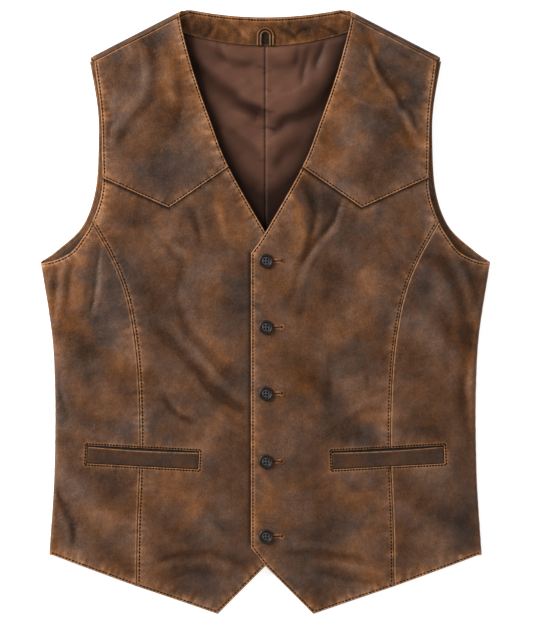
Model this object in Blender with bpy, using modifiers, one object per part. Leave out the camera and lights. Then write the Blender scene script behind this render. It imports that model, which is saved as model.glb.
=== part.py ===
"""A men's leather vest with western yokes, laid flat on its back.

Metres, +Z up. The back leather rests on z = 0 and the fronts lie over it. +X is the wearer's left, which is
the right of a picture taken from above, and +Y runs from the hem to the neck. The origin is the middle of
the footprint, on the surface that the vest lies on.
"""

import math

import bpy
import numpy as np
from mathutils import Vector
from mathutils.geometry import delaunay_2d_cdt

# Walls and gaps
LEATHER = 0.0015
LINING = 0.0010
FACING = 0.0012
SEAM_GAP = 0.0003
LAYER_GAP = 0.0003

# Folds at the sides and shoulders, where the outer skin turns from the back to the front
FOLD_RADIUS = 0.0050
QUARTER_TURN = FOLD_RADIUS * math.pi / 2
HALF_TURN = FOLD_RADIUS * math.pi
FOLD_TOP = 2 * FOLD_RADIUS

# How the fronts lie
PUFF = 0.0030
PUFF_RUN = 0.022
OVERLAP_RISE = 0.0020
OVERLAP_RISE_FROM = 0.022
OVERLAP_RISE_TO = 0.075
DROOP_FROM_Y = -0.262
DROOP_TO_Y = -0.336
DROOP_SIDE_RUN = 0.140
TIP_TOP = 0.0019

# Shoulders: the fold line from neck to arm, and how far forward of it the shoulder seam lies
NECK_POINT = np.array((0.0913, 0.3352))
SHOULDER_TIP = np.array((0.1956, 0.2815))
SHOULDER_SEAM_DROP = 0.0058
NECK_END_SLIDE = 0.0070
ARM_END_SLIDE = -0.0037

# Back neck and its leather facing, both parabolas across the centre back
BACK_NECK_Y = 0.3270
BACK_NECK_BEND = 1.2
BACK_NECK_HALF = 0.0830
NECK_CORNER = (0.0880, 0.33585)
FACING_HEM_Y = 0.2950
FACING_HEM_BEND = 1.75
FACING_HALF = 0.0990
FACING_INSET = 0.0009

# Hems
BACK_HEM_Y = -0.2620
BACK_HEM_DIP = 0.0078
HEM_CORNER = (0.2397, -0.2698)
FRONT_TIP = (0.0531, -0.3355)
LINING_HEM_Y = -0.2450
LINING_INSET = 0.0130

# Front edge: the neckline runs into a straight overlap, cut away below the last button
PLACKET_TOP = (-0.0162, 0.0648)
PLACKET_FOOT = (-0.0162, -0.2612)

# Pocket windows in the fronts
POCKET_CENTRE = (0.1358, -0.1612)
POCKET_SIZE = (0.1245, 0.0203)
POCKET_TILT = math.radians(3.08)
POCKET_MOUTH = 0.0014
POCKET_MOUTH_SAG = 0.0013
WELT_SINK = 0.0004
BAG_MARGIN = 0.0060
BAG_DEPTH = 0.0560

# Buttons
BUTTON_Y = (0.0562, -0.0172, -0.0905, -0.1656, -0.2485)
BUTTON_X = 0.0005
BUTTON_RADIUS = 0.0080
BUTTON_THICKNESS = 0.0030
BUTTON_RIM = 0.0018
BUTTON_HOLE_RADIUS = 0.0009
BUTTON_HOLE_OFFSET = 0.0017
BUTTON_STEPS = 20

# Hanger loop
LOOP_WIDTH = 0.0200
LOOP_STRAP = 0.0062
LOOP_HEIGHT = 0.0207
LOOP_THICKNESS = 0.0018
LOOP_STEPS = 10

# Mesh spacings
FRONT_STEP = 0.0145
BACK_STEP = 0.0300
FOLD_STEP = 0.0026
SIDE_STEP = 0.0150
LINING_STEP = 0.0340
LINING_NECK_STEP = 0.0110
FACING_STEP = 0.0100
WELT_STEP = 0.0120

# Side seam of one half: height up the body, distance from the centre
SIDE_SEAM = (
    # y, x
    (-0.2760, 0.2400),
    (-0.2637, 0.2397),
    (-0.1973, 0.2352),
    (-0.1442, 0.2336),
    (-0.0910, 0.2336),
    (-0.0379, 0.2358),
    (0.0019, 0.2408),
    (0.0285, 0.2452),
    (0.0551, 0.2495),
    (0.0700, 0.2520),
)

BACK_ARMHOLE = (
    # x, y from the shoulder down to the side seam
    (0.1956, 0.2815),
    (0.1865, 0.2278),
    (0.1852, 0.1880),
    (0.1887, 0.1348),
    (0.2031, 0.0949),
    (0.2308, 0.0684),
    (0.2495, 0.0551),
)

FRONT_ARMHOLE = (
    # x, y from the shoulder seam down to the side seam
    (0.1897, 0.2775),
    (0.1828, 0.2237),
    (0.1811, 0.1790),
    (0.1815, 0.1333),
    (0.1922, 0.0994),
    (0.2042, 0.0794),
    (0.2155, 0.0659),
    (0.2325, 0.0574),
    (0.2495, 0.0536),
)

NECKLINE = (
    # x, y from the shoulder seam down to the overlap
    (0.0949, 0.3262),
    (0.0908, 0.3064),
    (0.0783, 0.2614),
    (0.0602, 0.2096),
    (0.0408, 0.1606),
    (0.0000, 0.0884),
    PLACKET_TOP,
)

PRINCESS_SEAM = (
    # x, y from the armhole down to the hem
    (0.1922, 0.0994),
    (0.1714, 0.0623),
    (0.1572, 0.0285),
    (0.1480, -0.0091),
    (0.1411, -0.0656),
    (0.1388, -0.1486),
    (0.1417, -0.2350),
    (0.1430, -0.3042),
)

YOKE_SEAM = (
    # x, y from the armhole through the point to the neckline
    (0.1811, 0.1486),
    (0.1068, 0.1152),
    (0.0408, 0.1606),
)

# The larger folds of the fronts: wearer's side (+1 left, -1 right), start, end, half width, height
FRONT_FOLDS = (
    # side, x0, y0, x1, y1, half_width, height
    (-1, 0.1875, 0.0600, 0.1935, 0.0020, 0.0075, -0.0016),
    (-1, 0.1790, 0.0560, 0.1830, 0.0100, 0.0100, 0.0009),
    (-1, 0.2180, 0.0480, 0.2260, -0.0060, 0.0080, -0.0009),
    (-1, 0.1180, 0.0820, 0.1010, -0.0100, 0.0130, -0.0010),
    (-1, 0.1290, -0.0120, 0.0680, -0.0900, 0.0120, -0.0012),
    (-1, 0.1010, -0.0150, 0.0600, -0.0560, 0.0120, 0.0009),
    (-1, 0.1230, 0.2850, 0.1280, 0.1850, 0.0110, 0.0009),
    (-1, 0.2270, -0.1900, 0.2130, -0.2350, 0.0090, -0.0009),
    (1, 0.0460, 0.1330, 0.0430, 0.0500, 0.0110, 0.0012),
    (1, 0.0830, 0.1240, 0.0640, 0.0800, 0.0080, -0.0010),
    (1, 0.0600, 0.0760, 0.0400, -0.0200, 0.0110, -0.0010),
    (1, 0.1310, 0.2690, 0.1740, 0.2100, 0.0085, 0.0012),
    (1, 0.1290, 0.2250, 0.1600, 0.2060, 0.0080, -0.0009),
    (1, 0.2080, 0.0560, 0.2270, 0.0060, 0.0100, -0.0012),
    (1, 0.2180, -0.0250, 0.2200, -0.1080, 0.0100, -0.0013),
    (1, 0.1000, -0.0850, 0.1230, -0.1000, 0.0080, -0.0008),
)

# Soft drags in the lining below the neck: start, end, half width, height, across the whole back
LINING_FOLDS = (
    # x0, y0, x1, y1, half_width, height
    (-0.0780, 0.2820, -0.0120, 0.2440, 0.0130, 0.0020),
    (-0.0700, 0.2500, -0.0080, 0.2080, 0.0110, 0.0016),
    (-0.0450, 0.1980, -0.0050, 0.1720, 0.0110, 0.0013),
    (0.0750, 0.2890, 0.0620, 0.2420, 0.0080, 0.0018),
    (0.0620, 0.2480, 0.0080, 0.2280, 0.0120, 0.0017),
    (0.0450, 0.2160, 0.0060, 0.1900, 0.0120, 0.0015),
    (0.0300, 0.1700, 0.0040, 0.1450, 0.0110, 0.0011),
)

MATERIALS = {
    # name: (red, green, blue), roughness
    "front_leather": ((0.150, 0.075, 0.040), 0.50),
    "back_leather": ((0.130, 0.065, 0.036), 0.52),
    "welt_leather": ((0.085, 0.042, 0.027), 0.48),
    "facing_leather": ((0.170, 0.080, 0.038), 0.55),
    "lining_satin": ((0.100, 0.050, 0.038), 0.38),
    "pocket_cloth": ((0.020, 0.014, 0.012), 0.85),
    "button_horn": ((0.020, 0.015, 0.014), 0.30),
}

SHOULDER_RUN = SHOULDER_TIP - NECK_POINT
SHOULDER_ALONG = SHOULDER_RUN / np.linalg.norm(SHOULDER_RUN)
SHOULDER_OUT = np.array((-SHOULDER_ALONG[1], SHOULDER_ALONG[0]))


def clear_scene():
    for old in list(bpy.data.objects):
        bpy.data.objects.remove(old, do_unlink=True)


def make_collection(name):
    collection = bpy.data.collections.new(name)
    bpy.context.scene.collection.children.link(collection)
    return collection


def make_material(name):
    colour, roughness = MATERIALS[name]
    material = bpy.data.materials.new(name)
    material.use_nodes = True
    shader = material.node_tree.nodes["Principled BSDF"]
    shader.inputs["Base Color"].default_value = (*colour, 1.0)
    shader.inputs["Roughness"].default_value = roughness
    shader.inputs["Metallic"].default_value = 0.0
    return material


def smoothstep(value):
    t = np.clip(value, 0.0, 1.0)
    return t * t * (3 - 2 * t)


def resample(points, step):
    """The same polyline with evenly spaced points about a step apart, ends kept."""
    points = np.asarray(points, float)
    lengths = np.linalg.norm(np.diff(points, axis=0), axis=1)
    along = np.concatenate([[0.0], np.cumsum(lengths)])
    count = max(2, int(round(along[-1] / step)) + 1)
    wanted = np.linspace(0.0, along[-1], count)
    return np.column_stack([np.interp(wanted, along, points[:, k]) for k in (0, 1)])


def curve_through(rows, per_span=16):
    """A smooth Catmull-Rom curve through the rows of a table."""
    rows = np.asarray(rows, float)
    padded = np.vstack([2 * rows[0] - rows[1], rows, 2 * rows[-1] - rows[-2]])
    share = np.linspace(0.0, 1.0, per_span, endpoint=False)[:, None]
    spans = []
    for a, b, c, d in zip(padded[:-3], padded[1:-2], padded[2:-1], padded[3:]):
        bend = 2 * a - 5 * b + 4 * c - d
        twist = 3 * b - a - 3 * c + d
        spans.append(0.5 * (2 * b + (c - a) * share + bend * share**2 + twist * share**3))
    return np.vstack([*spans, rows[-1:]])


SIDE_CURVE = curve_through(SIDE_SEAM)


def side_x(y):
    """Distance of the side fold's outermost line from the centre."""
    return np.interp(y, SIDE_CURVE[:, 0], SIDE_CURVE[:, 1])


def side_levels(pit_y):
    """Heights of the points along a side seam, the same for the back and the side front."""
    levels = np.arange(HEM_CORNER[1], pit_y - SIDE_STEP / 2, SIDE_STEP)
    return np.append(levels, pit_y)


def side_rows(pit_y, count):
    """Points across the rolled edge at the side: count rows at each level, a fold step apart."""
    levels = side_levels(pit_y)
    start = side_x(levels) - FOLD_RADIUS
    return np.vstack([np.column_stack([start + k * FOLD_STEP, levels]) for k in range(count)])


def joined(*stretches):
    """One closed outline from stretches laid end to end, without doubled points."""
    points = [np.asarray(stretches[0][0], float)]
    for stretch in stretches:
        for point in np.asarray(stretch, float):
            if np.linalg.norm(point - points[-1]) > 2e-5:
                points.append(point)
    if np.linalg.norm(points[0] - points[-1]) < 2e-5:
        points.pop()
    return np.array(points)


def moved_sideways(points, distance):
    """The polyline moved to its left by a distance, as seen from above."""
    points = np.asarray(points, float)
    run = np.gradient(points, axis=0)
    run /= np.linalg.norm(run, axis=1)[:, None]
    return points + np.column_stack([-run[:, 1], run[:, 0]]) * distance


def mirrored(points):
    """The other half, in the opposite order so that the outline keeps its turn."""
    return (np.asarray(points, float) * (-1.0, 1.0))[::-1]


def inside(points, outline):
    """Whether each point lies inside the closed outline."""
    x, y = points[:, 0][:, None], points[:, 1][:, None]
    ax, ay = outline[:, 0], outline[:, 1]
    bx, by = np.roll(ax, -1), np.roll(ay, -1)
    crosses = (ay > y) != (by > y)
    rise = np.where(by == ay, 1.0, by - ay)
    return (crosses & (x < (bx - ax) * (y - ay) / rise + ax)).sum(axis=1) % 2 == 1


def distance_to(points, outline):
    """Distance of each point from the closed outline."""
    a, b = outline, np.roll(outline, -1, axis=0)
    span = b - a
    length = np.maximum((span**2).sum(axis=1), 1e-18)
    best = np.full(len(points), 1e9)
    for start, along, size in zip(a, span, length):
        share = np.clip(((points - start) @ along) / size, 0.0, 1.0)
        nearest = start + share[:, None] * along
        best = np.minimum(best, np.linalg.norm(points - nearest, axis=1))
    return best


def grid_points(outline, step):
    """Staggered rows of points inside the outline, kept clear of it."""
    low, high = outline.min(axis=0), outline.max(axis=0)
    row_step = step * math.sqrt(3) / 2
    rows = []
    for index, y in enumerate(np.arange(low[1] + row_step / 2, high[1], row_step)):
        xs = np.arange(low[0] + step / 2 * (index % 2), high[0], step)
        rows.append(np.column_stack([xs, np.full(len(xs), y)]))
    points = np.vstack(rows)
    points = points[inside(points, outline)]
    return points[distance_to(points, outline) > 0.55 * step]


def triangles_within(outline, points):
    """Delaunay triangles that fill the outline, using the points inside it."""
    count = len(outline)
    places = [Vector(p) for p in np.vstack([outline, points])]
    edges = [(i, (i + 1) % count) for i in range(count)]
    found = delaunay_2d_cdt(places, edges, [], 0, 1e-7, False)
    flat = np.array([tuple(v) for v in found[0]])
    faces = np.array(found[2])
    faces = faces[inside(flat[faces].mean(axis=1), outline)]
    return flat, [tuple(int(v) for v in face) for face in faces]


def cloth_piece(name, outline, points, lay, thickness, material, collection, faces_down=False):
    """A cut piece of cloth: the outline is filled, and laid in place as a shown and a hidden skin.

    lay(points, sink) gives the places of flat points, sink metres under the shown skin. The skins share
    one triangulation, so that neighbouring pieces keep their seam gap through the whole wall.
    """
    flat, faces = triangles_within(outline, points)
    if faces_down:
        faces = [face[::-1] for face in faces]
    count = len(flat)
    edges = {(a, b) for face in faces for a, b in zip(face, face[1:] + face[:1])}
    border = sorted(edge for edge in edges if edge[::-1] not in edges)
    hidden = [tuple(v + count for v in face[::-1]) for face in faces]
    rim = [(b, a, a + count, b + count) for a, b in border]
    places = np.vstack([lay(flat, 0.0), lay(flat, thickness)])
    mesh = bpy.data.meshes.new(name)
    mesh.from_pydata([tuple(place) for place in places], [], faces + hidden + rim)
    mesh.update()
    mesh.materials.append(material)
    collection.objects.link(bpy.data.objects.new(name, mesh))


def shoulder_depth(points):
    """Distance of each point of a half beyond the shoulder's fold line."""
    return (points - NECK_POINT) @ SHOULDER_OUT


def lay_back(points, inset):
    """Places points of the back's flat pattern: rolled up at the sides and over at the shoulders.

    inset moves them in from the outer skin, through the wall and to the layers that lie on the back.
    """
    half = np.column_stack([np.abs(points[:, 0]), points[:, 1]])
    sign = np.where(points[:, 0] < 0, -1.0, 1.0)
    radius = FOLD_RADIUS - inset
    x, y = half[:, 0].copy(), half[:, 1].copy()
    z = np.full(len(points), inset)

    start = side_x(y) - FOLD_RADIUS
    rolled = (x > start) & (y < 0.15)
    turn = (x - start) / FOLD_RADIUS
    x = np.where(rolled, start + radius * np.sin(turn), x)
    z = np.where(rolled, FOLD_RADIUS - radius * np.cos(turn), z)

    beyond = shoulder_depth(half) + FOLD_RADIUS
    over = (beyond > 0) & (y > 0.2)
    turn = np.clip(beyond / FOLD_RADIUS, 0.0, math.pi)
    rest = np.clip(beyond - HALF_TURN, 0.0, None)
    out = radius * np.sin(turn) - rest - beyond
    x = np.where(over, x + out * SHOULDER_OUT[0], x)
    y = np.where(over, y + out * SHOULDER_OUT[1], y)
    z = np.where(over, FOLD_RADIUS - radius * np.cos(turn), z)
    return np.column_stack([x * sign, y, z])


def folds_height(points, table):
    """Sum of the soft ridges and troughs of a table of x0, y0, x1, y1, half_width, height."""
    total = np.zeros(len(points))
    for x0, y0, x1, y1, half_width, height in table:
        start, run = np.array((x0, y0)), np.array((x1 - x0, y1 - y0))
        share = ((points - start) @ run) / (run @ run)
        nearest = start + np.clip(share, 0.0, 1.0)[:, None] * run
        across = np.linalg.norm(points - nearest, axis=1) / half_width
        taper = smoothstep((share + 0.15) / 0.45) * smoothstep((1.15 - share) / 0.45)
        total += height * np.exp(-(across**2)) * taper
    return total


def front_top(half, side):
    """Height of the fronts' outer skin over points of one half, x measured from the centre front."""
    x, y = half[:, 0], half[:, 1]
    from_side = np.maximum(side_x(y) - FOLD_RADIUS - x, 0.0)
    from_shoulder = np.maximum(-shoulder_depth(half) - SHOULDER_SEAM_DROP, 0.0)
    swell = (1 - np.exp(-from_side / PUFF_RUN)) * (1 - np.exp(-from_shoulder / PUFF_RUN))
    folds = [row[1:] for row in FRONT_FOLDS if row[0] == side]
    height = FOLD_TOP + swell * (PUFF + folds_height(half, folds))
    drop = smoothstep((DROOP_FROM_Y - y) / (DROOP_FROM_Y - DROOP_TO_Y))
    drop = drop * smoothstep(from_side / DROOP_SIDE_RUN)
    height = height - drop * (height - TIP_TOP)
    if side > 0:
        span = OVERLAP_RISE_TO - OVERLAP_RISE_FROM
        height = height + OVERLAP_RISE * (1 - smoothstep((x - OVERLAP_RISE_FROM) / span))
    return height


def lay_front(side, under=0.0):
    """A function that places points of one half of the fronts, rolled down at the side.

    under is the depth of the piece's shown skin below the fronts' own.
    """

    def lay(points, sink):
        depth = under + sink
        half = points * (side, 1.0)
        start = side_x(half[:, 1]) - FOLD_RADIUS
        turn = np.clip((half[:, 0] - start) / FOLD_RADIUS, 0.0, None)
        flat = np.column_stack([np.minimum(half[:, 0], start), half[:, 1]])
        radius = FOLD_RADIUS - depth
        x = np.where(turn > 0, start + radius * np.sin(turn), half[:, 0])
        z = front_top(flat, side) - FOLD_RADIUS + radius * np.cos(turn)
        return np.column_stack([x * side, half[:, 1], z])

    return lay


def front_edge(step):
    """The neckline, overlap and cutaway of one front, from the shoulder seam to the tip."""
    neck = curve_through(NECKLINE)
    return np.vstack(
        [
            resample(neck, step),
            resample([PLACKET_TOP, PLACKET_FOOT], step),
            resample([PLACKET_FOOT, (0.0, -0.2815)], step),
            resample([(0.0, -0.2815), FRONT_TIP], step),
        ]
    )


def window_corners(grow=0.0):
    """Corners of the pocket window: outer top, outer foot, inner foot, inner top."""
    along = np.array((math.cos(POCKET_TILT), math.sin(POCKET_TILT)))
    up = np.array((-math.sin(POCKET_TILT), math.cos(POCKET_TILT)))
    half = along * (POCKET_SIZE[0] / 2 + grow)
    rise = up * (POCKET_SIZE[1] / 2 + grow)
    centre = np.array(POCKET_CENTRE)
    return centre + half + rise, centre + half - rise, centre - half - rise, centre - half + rise


def cut_of(curve, low, high):
    """The stretch of a curve whose y lies from low to high, with exact ends."""
    order = np.argsort(curve[:, 1])
    ys, xs = curve[order, 1], curve[order, 0]
    kept = (ys > low + 1e-5) & (ys < high - 1e-5)
    ends = [(np.interp(low, ys, xs), low)], [(np.interp(high, ys, xs), high)]
    return np.vstack([ends[0], np.column_stack([xs[kept], ys[kept]]), ends[1]])


def seam_crossings(curve):
    """Where the princess seam meets the window's top and foot edges."""
    outer_top, outer_foot, inner_foot, inner_top = window_corners()
    found = []
    for a, b in ((inner_top, outer_top), (inner_foot, outer_foot)):
        edge_y = a[1] + (curve[:, 0] - a[0]) / (b[0] - a[0]) * (b[1] - a[1])
        nearest = np.argmin(np.abs(edge_y - curve[:, 1]))
        found.append(np.array((curve[nearest, 0], edge_y[nearest])))
    return found


def princess_seam(step):
    """The princess seam's points from the hem up to the window, and from the window up to the armhole."""
    curve = curve_through(PRINCESS_SEAM)
    top, foot = seam_crossings(curve)
    below = resample(cut_of(curve, curve[-1][1], foot[1]), step)
    above = resample(cut_of(curve, top[1], curve[0][1]), step)
    return below, above


def yoke_seam(step):
    """The yoke seam's points from the armhole through its point to the neckline."""
    return np.vstack([resample(YOKE_SEAM[:2], step), resample(YOKE_SEAM[1:], step)[1:]])


def front_outline(step):
    """Centre front: between the princess seam, the yoke seam and the front edge."""
    below, above = (moved_sideways(part, SEAM_GAP / 2) for part in princess_seam(step))
    inner_foot, inner_top = window_corners()[2:]
    yoke = moved_sideways(yoke_seam(step), SEAM_GAP / 2)
    armhole = cut_of(curve_through(FRONT_ARMHOLE), above[-1][1], yoke[0][1])[1:-1]
    edge = front_edge(step)
    edge = edge[edge[:, 1] < yoke[-1][1] - step / 3]
    return joined(
        below,
        resample([below[-1], inner_foot], step),
        resample([inner_foot, inner_top], step),
        resample([inner_top, above[0]], step),
        above,
        resample(np.vstack([above[-1:], armhole, yoke[:1]]), step),
        yoke,
        edge,
        resample([FRONT_TIP, below[0]], step),
    )


def side_outline(step, fold_step):
    """Side front: between the princess seam, the armhole and the side seam, with its rolled edge."""
    below, above = (moved_sideways(part, -SEAM_GAP / 2) for part in princess_seam(step))
    outer_top, outer_foot = window_corners()[:2]
    rolled = QUARTER_TURN - FOLD_RADIUS - SEAM_GAP
    armhole = curve_through(FRONT_ARMHOLE)
    corner_y, pit_y = HEM_CORNER[1], armhole[-1][1]
    levels = side_levels(pit_y)
    side = np.column_stack([side_x(levels) + rolled, levels])
    corner = np.array((side_x(corner_y) - FOLD_RADIUS, corner_y))
    armhole = armhole[(armhole[:, 0] < side_x(pit_y) - FOLD_RADIUS) & (armhole[:, 1] < above[-1][1])]
    return joined(
        resample([below[0], corner], step),
        resample([corner, side[0]], fold_step),
        side,
        resample([side[-1], armhole[-1]], fold_step),
        resample(np.vstack([armhole[::-1], above[-1:]]), step),
        above[::-1],
        resample([above[0], outer_top], step),
        resample([outer_top, outer_foot], step),
        resample([outer_foot, below[-1]], step),
        below[::-1],
    )


def seam_line_point(along, drop):
    """A point near a shoulder: distance along the fold from the neck, and distance down the front."""
    return NECK_POINT + SHOULDER_ALONG * along - SHOULDER_OUT * drop


def yoke_outline(step):
    """Front yoke: between the shoulder seam, the armhole, the pointed yoke seam and the neckline."""
    drop = SHOULDER_SEAM_DROP + SEAM_GAP
    length = np.linalg.norm(SHOULDER_RUN)
    neck_end = seam_line_point(NECK_END_SLIDE, drop)
    arm_end = seam_line_point(length + ARM_END_SLIDE, drop)
    yoke = moved_sideways(yoke_seam(step), -SEAM_GAP / 2)
    armhole = cut_of(curve_through(FRONT_ARMHOLE), yoke[0][1], arm_end[1])[1:-1]
    neck = front_edge(step)
    neck = neck[(neck[:, 1] > yoke[-1][1] + step / 3) & (neck[:, 1] < neck_end[1] - step / 3)]
    return joined(
        resample([arm_end, neck_end], step),
        neck,
        yoke[::-1],
        resample(np.vstack([yoke[:1], armhole, arm_end[None]]), step),
    )


def add_fronts(materials, collection):
    outlines = {
        "yoke": yoke_outline(FRONT_STEP),
        "front": front_outline(FRONT_STEP),
        "side": side_outline(FRONT_STEP, FOLD_STEP),
    }
    for side, word in ((1, "left"), (-1, "right")):
        for kind, outline in outlines.items():
            points = grid_points(outline, FRONT_STEP)
            if kind == "side":
                points = with_fold_rows(points, outline)
            if side < 0:
                outline, points = mirrored(outline), points * (-1.0, 1.0)
            name = f"{kind}_{word}"
            leather = materials["front_leather"]
            cloth_piece(name, outline, points, lay_front(side), LEATHER, leather, collection)


def with_fold_rows(points, outline):
    """The points, with rows of their own along the rolled edge at the side."""
    start = side_x(points[:, 1]) - FOLD_RADIUS
    kept = points[points[:, 0] < start - FRONT_STEP / 2]
    rows = side_rows(FRONT_ARMHOLE[-1][1], 3)
    rows = rows[inside(rows, outline)]
    return np.vstack([kept, rows[distance_to(rows, outline) > 0.45 * FOLD_STEP]])


def back_half_outline(step, fold_step):
    """One half of the back's flat pattern, from the centre of the hem round to the centre of the neck."""
    hem_x = np.linspace(0.0, HEM_CORNER[0] - FOLD_RADIUS, 9)
    hem_y = BACK_HEM_Y - BACK_HEM_DIP * (hem_x / HEM_CORNER[0]) ** 2
    hem_end = np.array((hem_x[-1], hem_y[-1]))
    pit = np.array(BACK_ARMHOLE[-1])
    roll = QUARTER_TURN - FOLD_RADIUS
    levels = side_levels(pit[1])
    side = np.column_stack([side_x(levels) + roll, levels])
    armhole = curve_through(BACK_ARMHOLE)[::-1]
    armhole = armhole[armhole[:, 0] < side_x(pit[1]) - FOLD_RADIUS]
    past_fold = HALF_TURN - FOLD_RADIUS + SHOULDER_SEAM_DROP - FOLD_RADIUS
    length = np.linalg.norm(SHOULDER_RUN)
    arm_end = seam_line_point(length + ARM_END_SLIDE, -past_fold)
    neck_end = seam_line_point(NECK_END_SLIDE, -past_fold)
    neck_x = np.linspace(BACK_NECK_HALF, 0.0, 7)
    neck = np.column_stack([neck_x, BACK_NECK_Y + BACK_NECK_BEND * neck_x**2])
    return joined(
        np.column_stack([hem_x, hem_y]),
        resample([hem_end, side[0]], fold_step),
        side,
        resample([side[-1], armhole[0]], fold_step),
        resample(armhole[:-1], step * 0.6),
        resample([SHOULDER_TIP - SHOULDER_OUT * FOLD_RADIUS, arm_end], fold_step),
        resample([arm_end, neck_end], step),
        resample([neck_end, NECK_POINT], fold_step),
        [NECK_CORNER],
        neck,
    )


def back_points(outline):
    """Points inside the back: sparse where it is flat, with rows along the folds."""
    points = grid_points(outline, BACK_STEP)
    half = np.abs(points * (1.0, 0.0)) + points * (0.0, 1.0)
    flat = (half[:, 0] < side_x(half[:, 1]) - FOLD_RADIUS - 0.006) | (half[:, 1] > 0.1)
    flat &= shoulder_depth(half) < -FOLD_RADIUS - 0.006
    rows = [side_rows(BACK_ARMHOLE[-1][1], 3)]
    along = np.arange(0.004, np.linalg.norm(SHOULDER_RUN), BACK_STEP * 0.6)
    for k in range(7):
        out = -FOLD_RADIUS + k * FOLD_STEP
        rows.append(NECK_POINT + SHOULDER_ALONG * along[:, None] + SHOULDER_OUT * out)
    rows = np.vstack(rows)
    rows = np.vstack([rows, rows * (-1.0, 1.0)])
    rows = rows[inside(rows, outline)]
    rows = rows[distance_to(rows, outline) > 0.4 * FOLD_STEP]
    return np.vstack([points[flat], rows])


def add_back(materials, collection):
    half = back_half_outline(BACK_STEP * 0.6, FOLD_STEP)
    outline = joined(half, mirrored(half))
    leather = materials["back_leather"]
    points = back_points(outline)
    cloth_piece("back", outline, points, lay_back, LEATHER, leather, collection, faces_down=True)


def facing_hem(reach):
    """The seam between the neck facing and the lining, from the centre back out to one side."""
    x = np.linspace(0.0, reach, 11)
    return np.column_stack([x, FACING_HEM_Y + FACING_HEM_BEND * x**2])


def add_facing(materials, collection):
    """The leather band inside the back neck, which turns over the shoulders with the back."""
    foot = facing_hem(FACING_HALF)
    foot = np.vstack([foot[:0:-1] * (-1.0, 1.0), foot])
    neck_x = np.linspace(BACK_NECK_HALF, 0.0, 9)
    neck = np.column_stack([neck_x, BACK_NECK_Y + BACK_NECK_BEND * neck_x**2 - FACING_INSET])
    end = [
        foot[-1] + (0.0022, 0.0),
        seam_line_point(0.0135, FOLD_RADIUS),
        seam_line_point(0.0130, 0.0050),
        seam_line_point(0.0050, 0.0050),
        seam_line_point(0.0015, 0.0056),
    ]
    outline = joined(foot, resample(end[:2], FACING_STEP), resample(end[1:3], FOLD_STEP), end[3:], neck)
    right = mirrored(joined(resample(end[:2], FACING_STEP), resample(end[1:3], FOLD_STEP), end[3:], neck))
    outline = joined(outline, right)
    points = grid_points(outline, FACING_STEP)

    def lay(flat, sink):
        return lay_back(flat, LEATHER + LAYER_GAP + FACING - sink)

    leather = materials["facing_leather"]
    cloth_piece("neck_facing", outline, points, lay, FACING, leather, collection)


def lining_top(points):
    """Height of the lining's shown face: flat on the back, dragged into soft folds below the neck."""
    ground = LEATHER + LAYER_GAP + LINING
    drags = np.maximum(folds_height(points, LINING_FOLDS), 0.0)
    from_seam = smoothstep(np.abs(points[:, 0]) / 0.006)
    return ground + drags * (0.35 + 0.65 * from_seam)


def add_lining(materials, collection):
    """Two halves of lining sewn together down the centre back."""
    top = moved_sideways(facing_hem(FACING_HALF), -SEAM_GAP)[:-1]
    top[0] = (SEAM_GAP / 2, top[0][1])
    armhole = curve_through(BACK_ARMHOLE) - (LINING_INSET, 0.0)
    armhole = armhole[(armhole[:, 1] < 0.262) & (armhole[:, 1] > 0.062)]
    side_y = np.linspace(0.040, LINING_HEM_Y, 10)
    side = np.column_stack([side_x(side_y) - LINING_INSET, side_y])
    outline = joined(
        top,
        [(0.176, 0.2760)],
        resample(armhole, LINING_STEP * 0.7),
        side,
        resample([(SEAM_GAP / 2, LINING_HEM_Y), (SEAM_GAP / 2, 0.125)], LINING_STEP),
        resample([(SEAM_GAP / 2, 0.125), top[0]], LINING_NECK_STEP),
    )[::-1]
    fine = grid_points(outline, LINING_NECK_STEP)
    shown = (fine[:, 1] > 0.120) & (fine[:, 0] < 0.012 + (fine[:, 1] - 0.08) * 0.45)
    coarse = grid_points(outline, LINING_STEP)
    hidden = (coarse[:, 1] < 0.105) | (coarse[:, 0] > 0.030 + (coarse[:, 1] - 0.08) * 0.45)
    points = np.vstack([fine[shown], coarse[hidden]])
    satin = materials["lining_satin"]

    def lay(flat, sink):
        return np.column_stack([flat, lining_top(flat) - sink])

    cloth_piece("lining_left", outline, points, lay, LINING, satin, collection)
    outline, points = mirrored(outline), points * (-1.0, 1.0)
    cloth_piece("lining_right", outline, points, lay, LINING, satin, collection)


def welt_outline():
    """The welt fills its window but for the pocket's mouth, which gapes most in the middle."""
    outer_top, outer_foot, inner_foot, inner_top = window_corners(-SEAM_GAP)
    share = np.linspace(0.0, 1.0, 11)
    gape = POCKET_MOUTH + POCKET_MOUTH_SAG * np.sin(math.pi * share)
    lip = outer_top + (inner_top - outer_top) * share[:, None] - np.outer(gape, (0.0, 1.0))
    return joined(
        resample([outer_foot, inner_foot], WELT_STEP)[::-1],
        [lip[0]],
        lip,
        resample([lip[-1], inner_foot], WELT_STEP),
    )


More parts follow.
